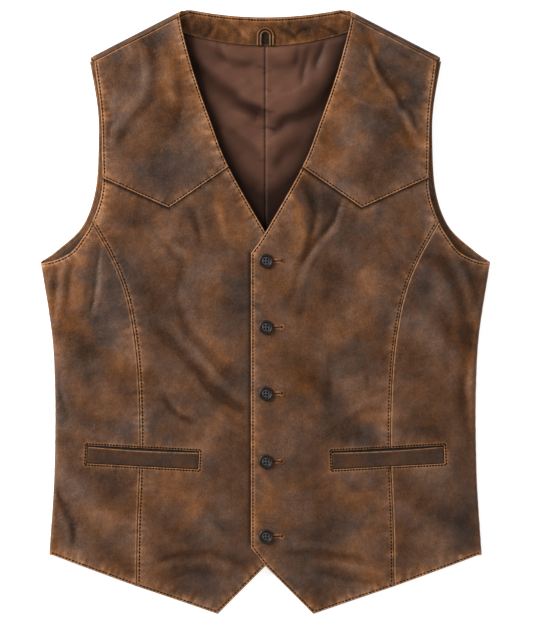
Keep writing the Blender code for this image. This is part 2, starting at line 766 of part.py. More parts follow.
def add_pockets(materials, collection):
    outer_top, outer_foot, inner_foot, inner_top = window_corners(BAG_MARGIN)
    depth = np.array((0.0, BAG_DEPTH - BAG_MARGIN - POCKET_SIZE[1]))
    bag = joined(
        resample([inner_foot - depth, outer_foot - depth], LINING_STEP),
        resample([outer_foot - depth, outer_top], LINING_STEP),
        resample([outer_top, inner_top], LINING_STEP),
        resample([inner_top, inner_foot - depth], LINING_STEP),
    )
    welt = welt_outline()
    bag_sink = WELT_SINK + LEATHER + 0.0004
    for side, word in ((1, "left"), (-1, "right")):
        for name, outline, step, sink, wall, material in (
            (f"welt_{word}", welt, WELT_STEP, WELT_SINK, LEATHER, "welt_leather"),
            (f"pocket_bag_{word}", bag, LINING_STEP, bag_sink, LINING, "pocket_cloth"),
        ):
            points = grid_points(outline, step)
            if side < 0:
                outline, points = mirrored(outline), points * (-1.0, 1.0)
            lay = lay_front(side, sink)
            cloth_piece(name, outline, points, lay, wall, materials[material], collection)


def button_body(name):
    """A turned button with a raised rim and a dished middle."""
    radius, top = BUTTON_RADIUS, BUTTON_THICKNESS
    profile = [
        (0.0, 0.0022),
        (0.0036, 0.0022),
        (radius - BUTTON_RIM - 0.0006, 0.0025),
        (radius - BUTTON_RIM, top),
        (radius - 0.0006, top),
        (radius, 0.0022),
        (radius - 0.0003, 0.0010),
        (radius - 0.0020, 0.0),
        (0.0, 0.0),
    ]
    mesh = bpy.data.meshes.new(name)
    edges = [(i, i + 1) for i in range(len(profile) - 1)]
    mesh.from_pydata([(x, 0.0, z) for x, z in profile], edges, [])
    body = bpy.data.objects.new(name, mesh)
    turned = body.modifiers.new("turned", "SCREW")
    turned.steps = turned.render_steps = BUTTON_STEPS
    turned.use_merge_vertices = True
    turned.merge_threshold = 0.00001
    turned.use_normal_calculate = True
    return body


def add_buttons(materials, collection, cutters):
    reach = BUTTON_THICKNESS * 3
    bpy.ops.mesh.primitive_cylinder_add(vertices=8, radius=BUTTON_HOLE_RADIUS, depth=reach)
    first = bpy.context.active_object
    drill = bpy.data.meshes.new("button_drill")
    corners = [(sx, sy) for sx in (-1, 1) for sy in (-1, 1)]
    shape = [(tuple(v.co), i) for i, v in enumerate(first.data.vertices)]
    faces, verts = [], []
    for index, (sx, sy) in enumerate(corners):
        base = index * len(shape)
        verts += [(x + sx * BUTTON_HOLE_OFFSET, y + sy * BUTTON_HOLE_OFFSET, z) for (x, y, z), _ in shape]
        faces += [tuple(base + v for v in face.vertices) for face in first.data.polygons]
    drill.from_pydata(verts, [], faces)
    bpy.data.objects.remove(first, do_unlink=True)
    for number, y in enumerate(BUTTON_Y, 1):
        footprint = np.array([(BUTTON_X + dx, y + dy) for dx in (-0.008, 0, 0.008) for dy in (-0.008, 0, 0.008)])
        height = front_top(footprint, 1).max() + LAYER_GAP
        place = (BUTTON_X, y, height)
        cutter = bpy.data.objects.new(f"drill_{number}", drill)
        cutter.location = place
        cutter.hide_render = True
        cutter.display_type = "WIRE"
        cutters.objects.link(cutter)
        body = button_body(f"button_{number}")
        body.data.materials.append(materials["button_horn"])
        body.location = place
        collection.objects.link(body)
        holes = body.modifiers.new("holes", "BOOLEAN")
        holes.operation = "DIFFERENCE"
        holes.solver = "EXACT"
        holes.object = cutter


def add_hanger_loop(materials, collection):
    """A flat strap bent into an upright loop, its ends caught in the facing's lower seam."""
    outer, inner = LOOP_WIDTH / 2, LOOP_WIDTH / 2 - LOOP_STRAP
    foot = FACING_HEM_Y + 0.0004
    arch = foot + LOOP_HEIGHT - outer
    angles = np.linspace(0.0, math.pi, LOOP_STEPS + 1)
    rim = np.column_stack([outer * np.cos(angles), arch + outer * np.sin(angles)])
    eye = np.column_stack([inner * np.cos(angles), arch + inner * 1.5 * np.sin(angles)])[::-1]
    outline = joined([(outer, foot)], rim, [(-outer, foot), (-inner, foot)], eye, [(inner, foot)])
    top = LEATHER + FACING + 2 * LAYER_GAP + LOOP_THICKNESS

    def lay(flat, sink):
        return np.column_stack([flat, np.full(len(flat), top - sink)])

    leather = materials["facing_leather"]
    nothing = np.empty((0, 2))
    cloth_piece("hanger_loop", outline, nothing, lay, LOOP_THICKNESS, leather, collection)


def build():
    clear_scene()
    vest = make_collection("leather_vest")
    cutters = make_collection("cutters")
    materials = {name: make_material(name) for name in MATERIALS}
    add_back(materials, vest)
    add_lining(materials, vest)
    add_facing(materials, vest)
    add_hanger_loop(materials, vest)
    add_fronts(materials, vest)
    add_pockets(materials, vest)
    add_buttons(materials, vest, cutters)


build()
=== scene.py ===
"""The looks of a men's leather vest that lies flat, face up: leather, lining, sewing, buttons and light.

Metres, in the frame's own axes: +X to the wearer's left, +Y from the hem to the neck, +Z up. Every cloth
piece is a thin shell laid by the same rules as its solid, so that it keeps that solid's form.
"""

import math

import bpy
import numpy as np
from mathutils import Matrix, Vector
from mathutils.geometry import delaunay_2d_cdt

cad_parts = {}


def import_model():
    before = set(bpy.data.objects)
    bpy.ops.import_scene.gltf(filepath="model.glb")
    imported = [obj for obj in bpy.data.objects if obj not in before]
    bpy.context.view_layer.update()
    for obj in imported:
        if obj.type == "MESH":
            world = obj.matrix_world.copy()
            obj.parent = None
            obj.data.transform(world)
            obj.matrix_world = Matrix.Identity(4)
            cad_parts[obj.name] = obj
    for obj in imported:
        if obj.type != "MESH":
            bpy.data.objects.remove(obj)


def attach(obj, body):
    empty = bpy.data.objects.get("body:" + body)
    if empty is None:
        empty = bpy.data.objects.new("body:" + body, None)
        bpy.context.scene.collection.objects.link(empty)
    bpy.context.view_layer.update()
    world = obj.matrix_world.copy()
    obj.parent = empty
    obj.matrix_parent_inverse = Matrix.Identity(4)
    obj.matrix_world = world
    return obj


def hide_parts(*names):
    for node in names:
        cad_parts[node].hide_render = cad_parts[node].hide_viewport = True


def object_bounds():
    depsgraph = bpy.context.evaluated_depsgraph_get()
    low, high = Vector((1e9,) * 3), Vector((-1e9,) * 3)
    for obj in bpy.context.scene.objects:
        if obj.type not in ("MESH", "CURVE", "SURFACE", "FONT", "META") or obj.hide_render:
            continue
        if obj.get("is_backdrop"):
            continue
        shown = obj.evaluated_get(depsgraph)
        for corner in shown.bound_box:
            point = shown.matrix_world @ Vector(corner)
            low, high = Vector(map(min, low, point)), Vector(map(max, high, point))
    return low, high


# Walls and gaps, as in the solids
LEATHER = 0.0015
LINING = 0.0010
FACING = 0.0012
SEAM_GAP = 0.0003
LAYER_GAP = 0.0003
SEWN_GAP = 0.00004
FOLD_RADIUS = 0.0050
QUARTER_TURN = FOLD_RADIUS * math.pi / 2
HALF_TURN = FOLD_RADIUS * math.pi
FOLD_TOP = 2 * FOLD_RADIUS

# How the fronts lie
PUFF = 0.0030
PUFF_RUN = 0.022
OVERLAP_RISE = 0.0020
OVERLAP_RISE_FROM = 0.022
OVERLAP_RISE_TO = 0.075
DROOP_FROM_Y = -0.262
DROOP_TO_Y = -0.336
DROOP_SIDE_RUN = 0.140
TIP_TOP = 0.0019

# Landmarks of the cut
NECK_POINT = np.array((0.0913, 0.3352))
SHOULDER_TIP = np.array((0.1956, 0.2815))
SHOULDER_SEAM_DROP = 0.0058
NECK_END_SLIDE = 0.0070
ARM_END_SLIDE = -0.0037
BACK_NECK_Y = 0.3270
BACK_NECK_BEND = 1.2
BACK_NECK_HALF = 0.0830
NECK_CORNER = (0.0880, 0.33585)
FACING_HEM_Y = 0.2950
FACING_HEM_BEND = 1.75
FACING_HALF = 0.0990
FACING_INSET = 0.0009
BACK_HEM_Y = -0.2620
BACK_HEM_DIP = 0.0078
HEM_CORNER = (0.2397, -0.2698)
FRONT_TIP = (0.0531, -0.3355)
NOTCH = (0.0, -0.2815)
LINING_HEM_Y = -0.2450
LINING_INSET = 0.0130
PLACKET_TOP = (-0.0162, 0.0648)
PLACKET_FOOT = (-0.0162, -0.2612)
POCKET_CENTRE = (0.1358, -0.1612)
POCKET_SIZE = (0.1245, 0.0203)
POCKET_TILT = math.radians(3.08)
POCKET_MOUTH = 0.0014
POCKET_MOUTH_SAG = 0.0013
WELT_SINK = 0.0004
BAG_MARGIN = 0.0060
BAG_DEPTH = 0.0560
BUTTON_Y = (0.0562, -0.0172, -0.0905, -0.1656, -0.2485)
BUTTON_X = 0.0005
BUTTON_RADIUS = 0.0080
BUTTON_HOLE_RADIUS = 0.00105
BUTTON_HOLE_OFFSET = 0.00170
LOOP_WIDTH = 0.0200
LOOP_STRAP = 0.0062
LOOP_HEIGHT = 0.0207

SIDE_SEAM = (
    # y, x
    (-0.2760, 0.2400),
    (-0.2637, 0.2397),
    (-0.1973, 0.2352),
    (-0.1442, 0.2336),
    (-0.0910, 0.2336),
    (-0.0379, 0.2358),
    (0.0019, 0.2408),
    (0.0285, 0.2452),
    (0.0551, 0.2495),
    (0.0700, 0.2520),
)

BACK_ARMHOLE = (
    # x, y
    (0.1956, 0.2815),
    (0.1865, 0.2278),
    (0.1852, 0.1880),
    (0.1887, 0.1348),
    (0.2031, 0.0949),
    (0.2308, 0.0684),
    (0.2495, 0.0551),
)

FRONT_ARMHOLE = (
    # x, y
    (0.1897, 0.2775),
    (0.1828, 0.2237),
    (0.1811, 0.1790),
    (0.1815, 0.1333),
    (0.1922, 0.0994),
    (0.2042, 0.0794),
    (0.2155, 0.0659),
    (0.2325, 0.0574),
    (0.2495, 0.0536),
)

NECKLINE = (
    # x, y
    (0.0949, 0.3262),
    (0.0908, 0.3064),
    (0.0783, 0.2614),
    (0.0602, 0.2096),
    (0.0408, 0.1606),
    (0.0000, 0.0884),
    PLACKET_TOP,
)

PRINCESS_SEAM = (
    # x, y
    (0.1922, 0.0994),
    (0.1714, 0.0623),
    (0.1572, 0.0285),
    (0.1480, -0.0091),
    (0.1411, -0.0656),
    (0.1388, -0.1486),
    (0.1417, -0.2350),
    (0.1430, -0.3042),
)

YOKE_SEAM = (
    # x, y
    (0.1811, 0.1486),
    (0.1068, 0.1152),
    (0.0408, 0.1606),
)

# Corners of one front's edge: overlap, cutaway and hem
FRONT_CORNERS = (PLACKET_TOP, PLACKET_FOOT, NOTCH, FRONT_TIP, PRINCESS_SEAM[-1])

# Folds of the solids: wearer's side (+1 left, -1 right), start, end, half width, height
FRONT_FOLDS = (
    # side, x0, y0, x1, y1, half_width, height
    (-1, 0.1875, 0.0600, 0.1935, 0.0020, 0.0075, -0.0016),
    (-1, 0.1790, 0.0560, 0.1830, 0.0100, 0.0100, 0.0009),
    (-1, 0.2180, 0.0480, 0.2260, -0.0060, 0.0080, -0.0009),
    (-1, 0.1180, 0.0820, 0.1010, -0.0100, 0.0130, -0.0010),
    (-1, 0.1290, -0.0120, 0.0680, -0.0900, 0.0120, -0.0012),
    (-1, 0.1010, -0.0150, 0.0600, -0.0560, 0.0120, 0.0009),
    (-1, 0.1230, 0.2850, 0.1280, 0.1850, 0.0110, 0.0009),
    (-1, 0.2270, -0.1900, 0.2130, -0.2350, 0.0090, -0.0009),
    (1, 0.0460, 0.1330, 0.0430, 0.0500, 0.0110, 0.0012),
    (1, 0.0830, 0.1240, 0.0640, 0.0800, 0.0080, -0.0010),
    (1, 0.0600, 0.0760, 0.0400, -0.0200, 0.0110, -0.0010),
    (1, 0.1310, 0.2690, 0.1740, 0.2100, 0.0085, 0.0012),
    (1, 0.1290, 0.2250, 0.1600, 0.2060, 0.0080, -0.0009),
    (1, 0.2080, 0.0560, 0.2270, 0.0060, 0.0100, -0.0012),
    (1, 0.2180, -0.0250, 0.2200, -0.1080, 0.0100, -0.0013),
    (1, 0.1000, -0.0850, 0.1230, -0.1000, 0.0080, -0.0008),
)

LINING_FOLDS = (
    # x0, y0, x1, y1, half_width, height
    (-0.0780, 0.2820, -0.0120, 0.2440, 0.0130, 0.0020),
    (-0.0700, 0.2500, -0.0080, 0.2080, 0.0110, 0.0016),
    (-0.0450, 0.1980, -0.0050, 0.1720, 0.0110, 0.0013),
    (0.0750, 0.2890, 0.0620, 0.2420, 0.0080, 0.0018),
    (0.0620, 0.2480, 0.0080, 0.2280, 0.0120, 0.0017),
    (0.0450, 0.2160, 0.0060, 0.1900, 0.0120, 0.0015),
    (0.0300, 0.1700, 0.0040, 0.1450, 0.0110, 0.0011),
)

# The photograph's scale: metres to a pixel, and the pixel at the frame's origin
PHOTO_SCALE = 0.001107
PHOTO_ORIGIN = (265.5, 311.8)
PHOTO_SIZE = (533, 640)

# Creases of the fronts, seen from above: ends in the photograph's pixels, sizes in millimetres
CREASES = (
    # half_width_mm, height_mm, raised_side (1 left of the run, -1 right), pixels along the crease
    # right yoke of the wearer
    (6.0, -0.75, -1, ((151, 40), (157, 72), (150, 98), (132, 122), (116, 148))),
    (4.5, 0.55, 0, ((162, 36), (168, 75), (173, 106))),
    (5.0, -0.40, 0, ((178, 52), (179, 95), (176, 142))),
    (4.0, -0.35, 1, ((107, 92), (110, 124), (106, 150))),
    # right centre front
    (4.2, -0.60, 1, ((190, 200), (195, 220), (202, 246))),
    (5.0, 0.45, 0, ((215, 200), (225, 228), (232, 250))),
    (5.5, -0.60, 1, ((162, 242), (181, 266), (178, 296), (187, 330), (207, 352))),
    (6.5, -1.15, 1, ((154, 326), (176, 346), (204, 380), (229, 402), (250, 412))),
    (5.0, 0.50, 0, ((186, 330), (206, 362), (226, 384))),
    (4.0, -0.75, 1, ((160, 388), (168, 404), (181, 418), (200, 424))),
    (4.0, -0.50, -1, ((214, 402), (229, 418), (249, 430))),
    (4.6, -0.55, -1, ((150, 564), (190, 554), (222, 557), (252, 569))),
    (3.6, -0.35, 0, ((166, 579), (196, 572), (226, 573))),
    (7.0, -0.45, 0, ((206, 500), (224, 526), (246, 545))),
    # right side front
    (2.7, -0.70, 1, ((99, 246), (97, 272), (94, 298), (91, 318))),
    (4.0, 0.30, 0, ((84, 262), (82, 292), (78, 322))),
    (4.2, 0.55, 0, ((68, 258), (60, 296), (56, 336))),
    (3.6, -0.55, 0, ((77, 254), (69, 286), (64, 316))),
    (3.4, -0.45, 0, ((58, 262), (53, 300))),
    (3.6, -0.50, 1, ((54, 378), (62, 402), (66, 424))),
    (3.6, -0.95, -1, ((55, 482), (62, 502), (71, 522), (76, 548))),
    (5.5, -0.40, 0, ((76, 340), (88, 366), (92, 392))),
    # left yoke of the wearer
    (4.0, -1.15, -1, ((371, 36), (380, 66), (396, 92), (409, 112), (421, 133))),
    (2.4, 0.34, 0, ((342, 92), (366, 103), (392, 110), (410, 118))),
    (3.4, -0.40, 0, ((396, 50), (412, 60), (428, 66))),
    (4.5, -0.50, 1, ((398, 112), (409, 138), (421, 162))),
    (4.0, -0.25, 0, ((344, 66), (372, 66))),
    # left centre front
    (4.4, -0.90, 1, ((305, 176), (312, 198), (314, 224), (307, 252), (296, 274), (289, 312))),
    (3.8, -0.95, 1, ((341, 196), (333, 220), (316, 244), (301, 262))),
    (2.2, -0.26, 0, ((384, 222), (396, 236), (412, 258))),
    (2.2, -0.24, 0, ((374, 236), (388, 250), (400, 272))),
    (2.2, -0.24, 0, ((388, 204), (404, 212), (418, 214))),
    (3.6, 0.50, 0, ((349, 414), (365, 404), (386, 397))),
    (3.8, -0.60, 0, ((345, 425), (362, 414), (388, 409))),
    (6.5, -0.50, 0, ((334, 352), (329, 380), (326, 412))),
    (4.5, -0.45, 0, ((364, 360), (370, 392))),
    (4.2, -0.50, 1, ((280, 552), (312, 552), (344, 557), (374, 566))),
    (3.8, 0.50, 0, ((316, 562), (344, 566), (376, 573), (391, 580))),
    (3.4, -0.40, 0, ((312, 574), (346, 578), (380, 588))),
    (5.0, -0.35, 0, ((270, 330), (282, 352))),
    (6.0, -0.40, 0, ((330, 476), (356, 488), (376, 510))),
    # left side front
    (7.5, -0.95, 1, ((440, 250), (454, 284), (465, 322), (467, 350), (463, 386), (466, 420), (473, 450))),
    (5.0, -0.55, 0, ((452, 238), (468, 270), (479, 306))),
    (4.5, -0.35, 0, ((404, 264), (424, 258), (444, 262))),
    (6.0, -0.40, 0, ((442, 300), (448, 340), (446, 376))),
    (4.5, -0.40, 0, ((470, 500), (476, 528))),
)

# Long soft creases of the back, seen from below: ends and half width in millimetres, depth in millimetres
BACK_CREASES = (
    # x0_mm, y0_mm, x1_mm, y1_mm, half_width_mm, depth_mm
    (-150, 60, -60, 20, 9, 0.35),
    (-60, 20, 40, 10, 10, 0.30),
    (60, 70, 160, 30, 9, 0.35),
    (-180, -60, -90, -90, 8, 0.30),
    (70, -70, 190, -50, 9, 0.35),
    (-40, -150, 60, -170, 10, 0.30),
    (-170, 200, -120, 120, 8, 0.40),
    (165, 210, 120, 130, 8, 0.40),
    (-120, 290, -60, 230, 9, 0.30),
    (110, 285, 60, 215, 9, 0.30),
    (-200, -190, -140, -230, 8, 0.30),
    (150, -180, 205, -225, 8, 0.35),
    (-10, 150, 10, 80, 9, 0.25),
)

# How much deeper the creases lie than the tables' heights
CREASE_GAIN = 1.62
LINING_GAIN = 1.9

# Fine drags and puckers of the lining where it shows: photograph's pixels and millimetres
LINING_CREASES = (
    # half_width_mm, height_mm, raised_side (1 left of the run, -1 right), pixels along the crease
    (9.5, -1.10, 1, ((186, 56), (206, 74), (228, 93), (248, 106), (276, 117))),
    (6.5, -0.85, 1, ((200, 40), (220, 58), (244, 63), (262, 60))),
    (5.5, -0.60, 0, ((267, 64), (286, 66), (304, 58))),
    (10.0, -1.10, -1, ((334, 80), (320, 102), (300, 114), (282, 122), (276, 140))),
    (4.2, -0.70, 0, ((312, 40), (306, 58), (301, 84))),
    (4.2, -0.75, 0, ((325, 36), (319, 50), (315, 72))),
    (3.6, -0.45, 0, ((300, 42), (297, 56), (293, 68))),
    (4.0, -0.50, 0, ((214, 36), (220, 50), (224, 62))),
    (8.0, -0.75, 1, ((222, 120), (242, 136), (262, 158))),
    (8.0, -0.75, -1, ((310, 132), (288, 150), (270, 172))),
    (6.0, -0.50, 0, ((236, 164), (250, 178), (262, 196))),
    (7.0, 0.50, 0, ((218, 106), (238, 126), (258, 142))),
    (7.0, 0.55, 0, ((272, 92), (290, 94), (308, 88))),
    (6.0, 0.40, 0, ((240, 78), (256, 92))),
    (1.7, -0.55, 0, ((257, 66), (268, 69))),
    (1.7, -0.50, 0, ((263, 74), (273, 70))),
    (1.8, -0.60, 0, ((263, 87), (276, 92))),
    (1.7, -0.55, 0, ((262, 109), (277, 113))),
    (1.7, -0.55, 0, ((262, 126), (279, 130))),
    (1.6, -0.45, 0, ((255, 128), (268, 129))),
    (1.7, -0.50, 0, ((263, 146), (276, 149))),
    (1.6, -0.45, 0, ((256, 160), (268, 162))),
    (1.6, -0.45, 0, ((263, 175), (274, 178))),
)

# Creases of the neck facing: only its ridges rise; painted shade darkens their valleys and painted light
# brightens their ridges
FACING_CREASES = (
    # half_width_mm, height_mm, raised_side, pixels along the crease
    (2.6, -0.40, 1, ((214, 22), (209, 32), (203, 42))),
    (2.2, -0.35, -1, ((196, 20), (193, 32))),
    (2.4, -0.40, 1, ((232, 26), (242, 36), (250, 44))),
    (2.0, 0.30, 0, ((222, 24), (228, 36))),
    (2.4, -0.40, -1, ((290, 40), (300, 32), (312, 26))),
    (2.2, -0.30, 1, ((278, 24), (288, 32), (300, 42))),
    (2.6, -0.45, 1, ((318, 22), (330, 30), (342, 36))),
    (2.2, 0.30, 0, ((326, 20), (338, 24))),
)

# Dark and pale patches of the waxed leather: -1 slate, +1 tan; the photograph's pixels
# A few rows are painted shadow and highlight, marked where they stand
PATCHES = (
    # photo_x, photo_y, reach_x_px, reach_y_px, tone
    # right yoke of the wearer
    (160, 173, 30, 17, -0.95),
    (190, 168, 20, 14, -0.45),
    (188, 138, 12, 20, -0.60),
    (112, 131, 9, 19, -0.85),
    (172, 75, 8, 34, 0.75),
    (162, 48, 12, 9, 0.35),
    (128, 78, 26, 22, -0.35),
    (121, 49, 12, 7, -0.55),
    (138, 142, 24, 14, 0.35),
    (117, 167, 13, 9, 0.35),
    (150, 108, 18, 20, 0.15),
    (196, 100, 7, 44, 0.55),
    (205, 140, 6, 26, 0.45),
    (100, 100, 5, 40, 0.20),
    # right centre front
    (223, 214, 11, 22, 0.75),
    (243, 236, 7, 14, 0.45),
    (104, 207, 7, 16, 0.60),
    (150, 216, 16, 12, -0.50),
    (184, 197, 18, 8, -0.35),
    (165, 226, 12, 9, 0.40),
    (121, 240, 12, 9, 0.40),
    (127, 268, 12, 20, -0.95),
    (148, 262, 16, 14, -0.30),
    (160, 252, 9, 9, 0.35),
    # painted shadow beside the overlap's edge
    (242, 288, 13, 28, -0.85),
    (226, 276, 7, 14, 0.30),
    (183, 290, 8, 26, -0.40),
    (205, 262, 10, 12, -0.20),
    (160, 318, 20, 18, -0.55),
    (145, 340, 8, 30, -0.25),
    (219, 354, 10, 14, 0.55),
    (224, 416, 11, 11, 0.60),
    (237, 388, 11, 14, -0.55),
    (190, 402, 20, 11, -0.35),
    (152, 432, 14, 8, -0.70),
    (204, 446, 12, 7, 0.40),
    (236, 446, 10, 7, 0.35),
    (228, 470, 16, 10, -0.30),
    (166, 489, 20, 13, 0.45),
    (192, 506, 15, 13, 0.55),
    (217, 521, 20, 12, -0.55),
    (168, 546, 22, 12, -0.45),
    (202, 586, 26, 13, -0.75),
    (236, 560, 14, 9, -0.45),
    (158, 577, 14, 5, 0.30),
    # painted shadow along the overlap's edge
    (248, 330, 4, 60, -0.25),
    # right side front
    (80, 244, 11, 12, 0.55),
    (76, 300, 9, 24, 0.70),
    (60, 318, 6, 18, 0.65),
    (113, 292, 13, 26, -1.05),
    (107, 330, 17, 14, -0.75),
    (90, 268, 5, 20, -0.40),
    (119, 366, 14, 13, 0.40),
    (106, 406, 16, 16, 0.40),
    (78, 392, 9, 20, 0.25),
    (60, 398, 8, 26, -0.75),
    (85, 366, 10, 22, -0.60),
    (124, 430, 12, 10, -0.60),
    (72, 440, 9, 10, 0.35),
    (94, 482, 26, 12, -0.30),
    (74, 532, 10, 15, -0.70),
    (112, 520, 18, 9, 0.35),
    (66, 550, 11, 7, 0.60),
    (58, 504, 5, 16, -0.60),
    (120, 560, 16, 8, 0.20),
    # left yoke of the wearer
    (372, 122, 26, 17, -0.75),
    (352, 72, 14, 12, -0.55),
    (402, 82, 16, 16, -0.75),
    (385, 50, 18, 8, -0.30),
    (363, 40, 12, 8, 0.50),
    (373, 60, 5, 16, 0.80),
    (392, 96, 6, 17, 0.80),
    (412, 130, 8, 16, 0.60),
    (350, 104, 12, 12, 0.45),
    (349, 146, 17, 11, 0.50),
    (340, 166, 9, 9, 0.40),
    (392, 164, 20, 12, -0.40),
    (424, 100, 6, 30, -0.35),
    (331, 118, 7, 36, 0.50),
    # left centre front
    (324, 200, 15, 14, -0.80),
    (336, 226, 16, 18, -0.65),
    (371, 216, 13, 10, -0.60),
    (300, 212, 7, 26, 0.75),
    (309, 236, 6, 14, 0.45),
    (284, 236, 7, 12, 0.30),
    (406, 200, 18, 10, 0.25),
    (400, 236, 18, 12, 0.20),
    (298, 268, 5, 22, 0.45),
    (285, 236, 5, 5, -0.45),
    (375, 290, 14, 13, 0.60),
    (350, 332, 20, 11, 0.35),
    (394, 264, 12, 10, 0.25),
    (395, 312, 11, 14, -0.75),
    (330, 286, 18, 20, -0.30),
    (286, 290, 9, 12, 0.25),
    (351, 361, 16, 12, -0.80),
    (332, 402, 12, 24, -0.80),
    (282, 410, 15, 14, -0.60),
    (310, 345, 16, 12, -0.25),
    (275, 344, 6, 10, 0.35),
    (300, 381, 12, 13, 0.45),
    (311, 412, 8, 14, 0.35),
    (380, 411, 11, 8, 0.45),
    (370, 431, 13, 8, -1.00),
    (340, 436, 14, 8, -0.45),
    (290, 456, 16, 12, -0.55),
    (266, 500, 6, 18, 0.60),
    (262, 480, 5, 12, 0.35),
    (345, 479, 22, 6, -0.50),
    (350, 499, 22, 11, 0.35),
    (338, 522, 20, 14, -0.35),
    (362, 546, 20, 12, 0.50),
    (300, 541, 20, 16, -0.75),
    (311, 581, 22, 12, -0.90),
    (370, 570, 14, 8, 0.50),
    (262, 300, 6, 30, 0.25),
    # left side front
    (430, 244, 11, 12, -0.50),
    (464, 266, 13, 12, -0.60),
    (432, 262, 8, 5, 0.45),
    (424, 291, 12, 20, -0.75),
    (450, 292, 8, 20, -0.45),
    (464, 334, 6, 34, 0.30),
    (432, 372, 18, 26, 0.05),
    (468, 372, 6, 50, 0.40),
    (478, 330, 4, 26, -0.30),
    (420, 430, 16, 8, -0.60),
    (440, 480, 20, 11, -0.25),
    (461, 520, 16, 21, -0.95),
    (476, 548, 6, 9, 0.75),
    (406, 556, 14, 12, -0.35),
    (404, 500, 8, 20, 0.15),
    # strips of the back along the shoulders and armholes
    # the next four rows lie on the left yoke's diagonal crease: a pale band on its left side, painted
    # highlight
    (374, 60, 5, 13, 0.65),
    (377, 84, 5, 13, 0.50),
    (384, 106, 5, 10, 0.45),
    (398, 128, 5, 10, 0.35),
    (408, 90, 10, 14, -0.75),
    (110, 48, 16, 8, -0.90),
    (138, 34, 18, 9, -0.80),
    (166, 20, 16, 8, -0.70),
    (366, 22, 16, 8, -0.90),
    (394, 36, 18, 9, -0.90),
    (422, 50, 16, 8, -1.00),
    (85, 415, 22, 14, -0.35),
    (104, 300, 12, 26, -0.30),
)

# Mesh spacings
FINE_STEP = 0.0019
EDGE_STEP = 0.0015
EDGE_ROWS = (0.0003, 0.0007, 0.0012, 0.0017, 0.0022, 0.0027, 0.0034)
BACK_STEP = 0.0042
LINING_STEP = 0.0024
LINING_HIDDEN_STEP = 0.0120
FOLD_STEP = 0.0009

# Sewing
STITCH_PITCH = 0.0039
STITCH_LENGTH = 0.0027
STITCH_WIDTH = 0.00205
STITCH_HEIGHT = 0.00045
EDGE_STITCH_IN = 0.0023
YOKE_STITCH_IN = 0.0020
PRINCESS_STITCH_IN = 0.0029
POCKET_STITCH_OUT = 0.0014
NECK_STITCH_IN = 0.0024
NECK_STITCH_HALF = 0.0850
NECK_PITCH = 0.0034
NECK_LENGTH = 0.0024
SHORT_PITCH = 0.0033
SHORT_LENGTH = 0.0023

SHOULDER_RUN = SHOULDER_TIP - NECK_POINT
SHOULDER_LENGTH = np.linalg.norm(SHOULDER_RUN)
SHOULDER_ALONG = SHOULDER_RUN / SHOULDER_LENGTH
SHOULDER_OUT = np.array((-SHOULDER_ALONG[1], SHOULDER_ALONG[0]))


# Small geometry helpers


def smoothstep(value):
    """A soft step from 0 to 1 as the value goes from 0 to 1."""
    t = np.clip(value, 0.0, 1.0)
    return t * t * (3 - 2 * t)


def bell(value):
    return np.exp(-np.square(value))


def resample(points, step):
    """The same polyline with evenly spaced points about a step apart, ends kept."""
    points = np.asarray(points, float)
    lengths = np.linalg.norm(np.diff(points, axis=0), axis=1)
    along = np.concatenate([[0.0], np.cumsum(lengths)])
    count = max(2, int(round(along[-1] / step)) + 1)
    wanted = np.linspace(0.0, along[-1], count)
    return np.column_stack([np.interp(wanted, along, points[:, k]) for k in (0, 1)])


def resample_spans(corners, step):
    """A polyline resampled span by span, so that every corner stays."""
    spans = [resample(corners[i : i + 2], step)[:-1] for i in range(len(corners) - 1)]
    return np.vstack([*spans, np.asarray(corners, float)[-1:]])


def curve_through(rows, per_span=24):
    """A smooth Catmull-Rom curve through the rows of a table."""
    rows = np.asarray(rows, float)
    padded = np.vstack([2 * rows[0] - rows[1], rows, 2 * rows[-1] - rows[-2]])
    share = np.linspace(0.0, 1.0, per_span, endpoint=False)[:, None]
    spans = []
    for a, b, c, d in zip(padded[:-3], padded[1:-2], padded[2:-1], padded[3:]):
        bend = 2 * a - 5 * b + 4 * c - d
        twist = 3 * b - a - 3 * c + d
        spans.append(0.5 * (2 * b + (c - a) * share + bend * share**2 + twist * share**3))
    return np.vstack([*spans, rows[-1:]])


def cut_of(curve, low, high):
    """The stretch of a curve whose y lies from low to high, with exact ends."""
    order = np.argsort(curve[:, 1])
    ys, xs = curve[order, 1], curve[order, 0]
    kept = (ys > low + 1e-5) & (ys < high - 1e-5)
    ends = [(np.interp(low, ys, xs), low)], [(np.interp(high, ys, xs), high)]
    return np.vstack([ends[0], np.column_stack([xs[kept], ys[kept]]), ends[1]])


def moved_sideways(points, distance):
    """The polyline moved to its left by a distance, as seen from above."""
    points = np.asarray(points, float)
    run = np.gradient(points, axis=0)
    run /= np.maximum(np.linalg.norm(run, axis=1), 1e-9)[:, None]
    return points + np.column_stack([-run[:, 1], run[:, 0]]) * distance


def joined(*stretches):
    """One closed outline from stretches laid end to end, without doubled points."""
    points = [np.asarray(stretches[0][0], float)]
    for stretch in stretches:
        for point in np.asarray(stretch, float):
            if np.linalg.norm(point - points[-1]) > 2e-5:
                points.append(point)
    if np.linalg.norm(points[0] - points[-1]) < 2e-5:
        points.pop()
    return np.array(points)


def mirrored(points):
    """The other half, in the opposite order so that an outline keeps its turn."""
    return (np.asarray(points, float) * (-1.0, 1.0))[::-1]


def inside(points, outline):
    """Whether each point lies inside the closed outline."""
    x, y = points[:, 0], points[:, 1]
    within = np.zeros(len(points), bool)
    for (ax, ay), (bx, by) in zip(outline, np.roll(outline, -1, axis=0)):
        if ay != by:
            crosses = (ay > y) != (by > y)
            within ^= crosses & (x < (bx - ax) * (y - ay) / (by - ay) + ax)
    return within


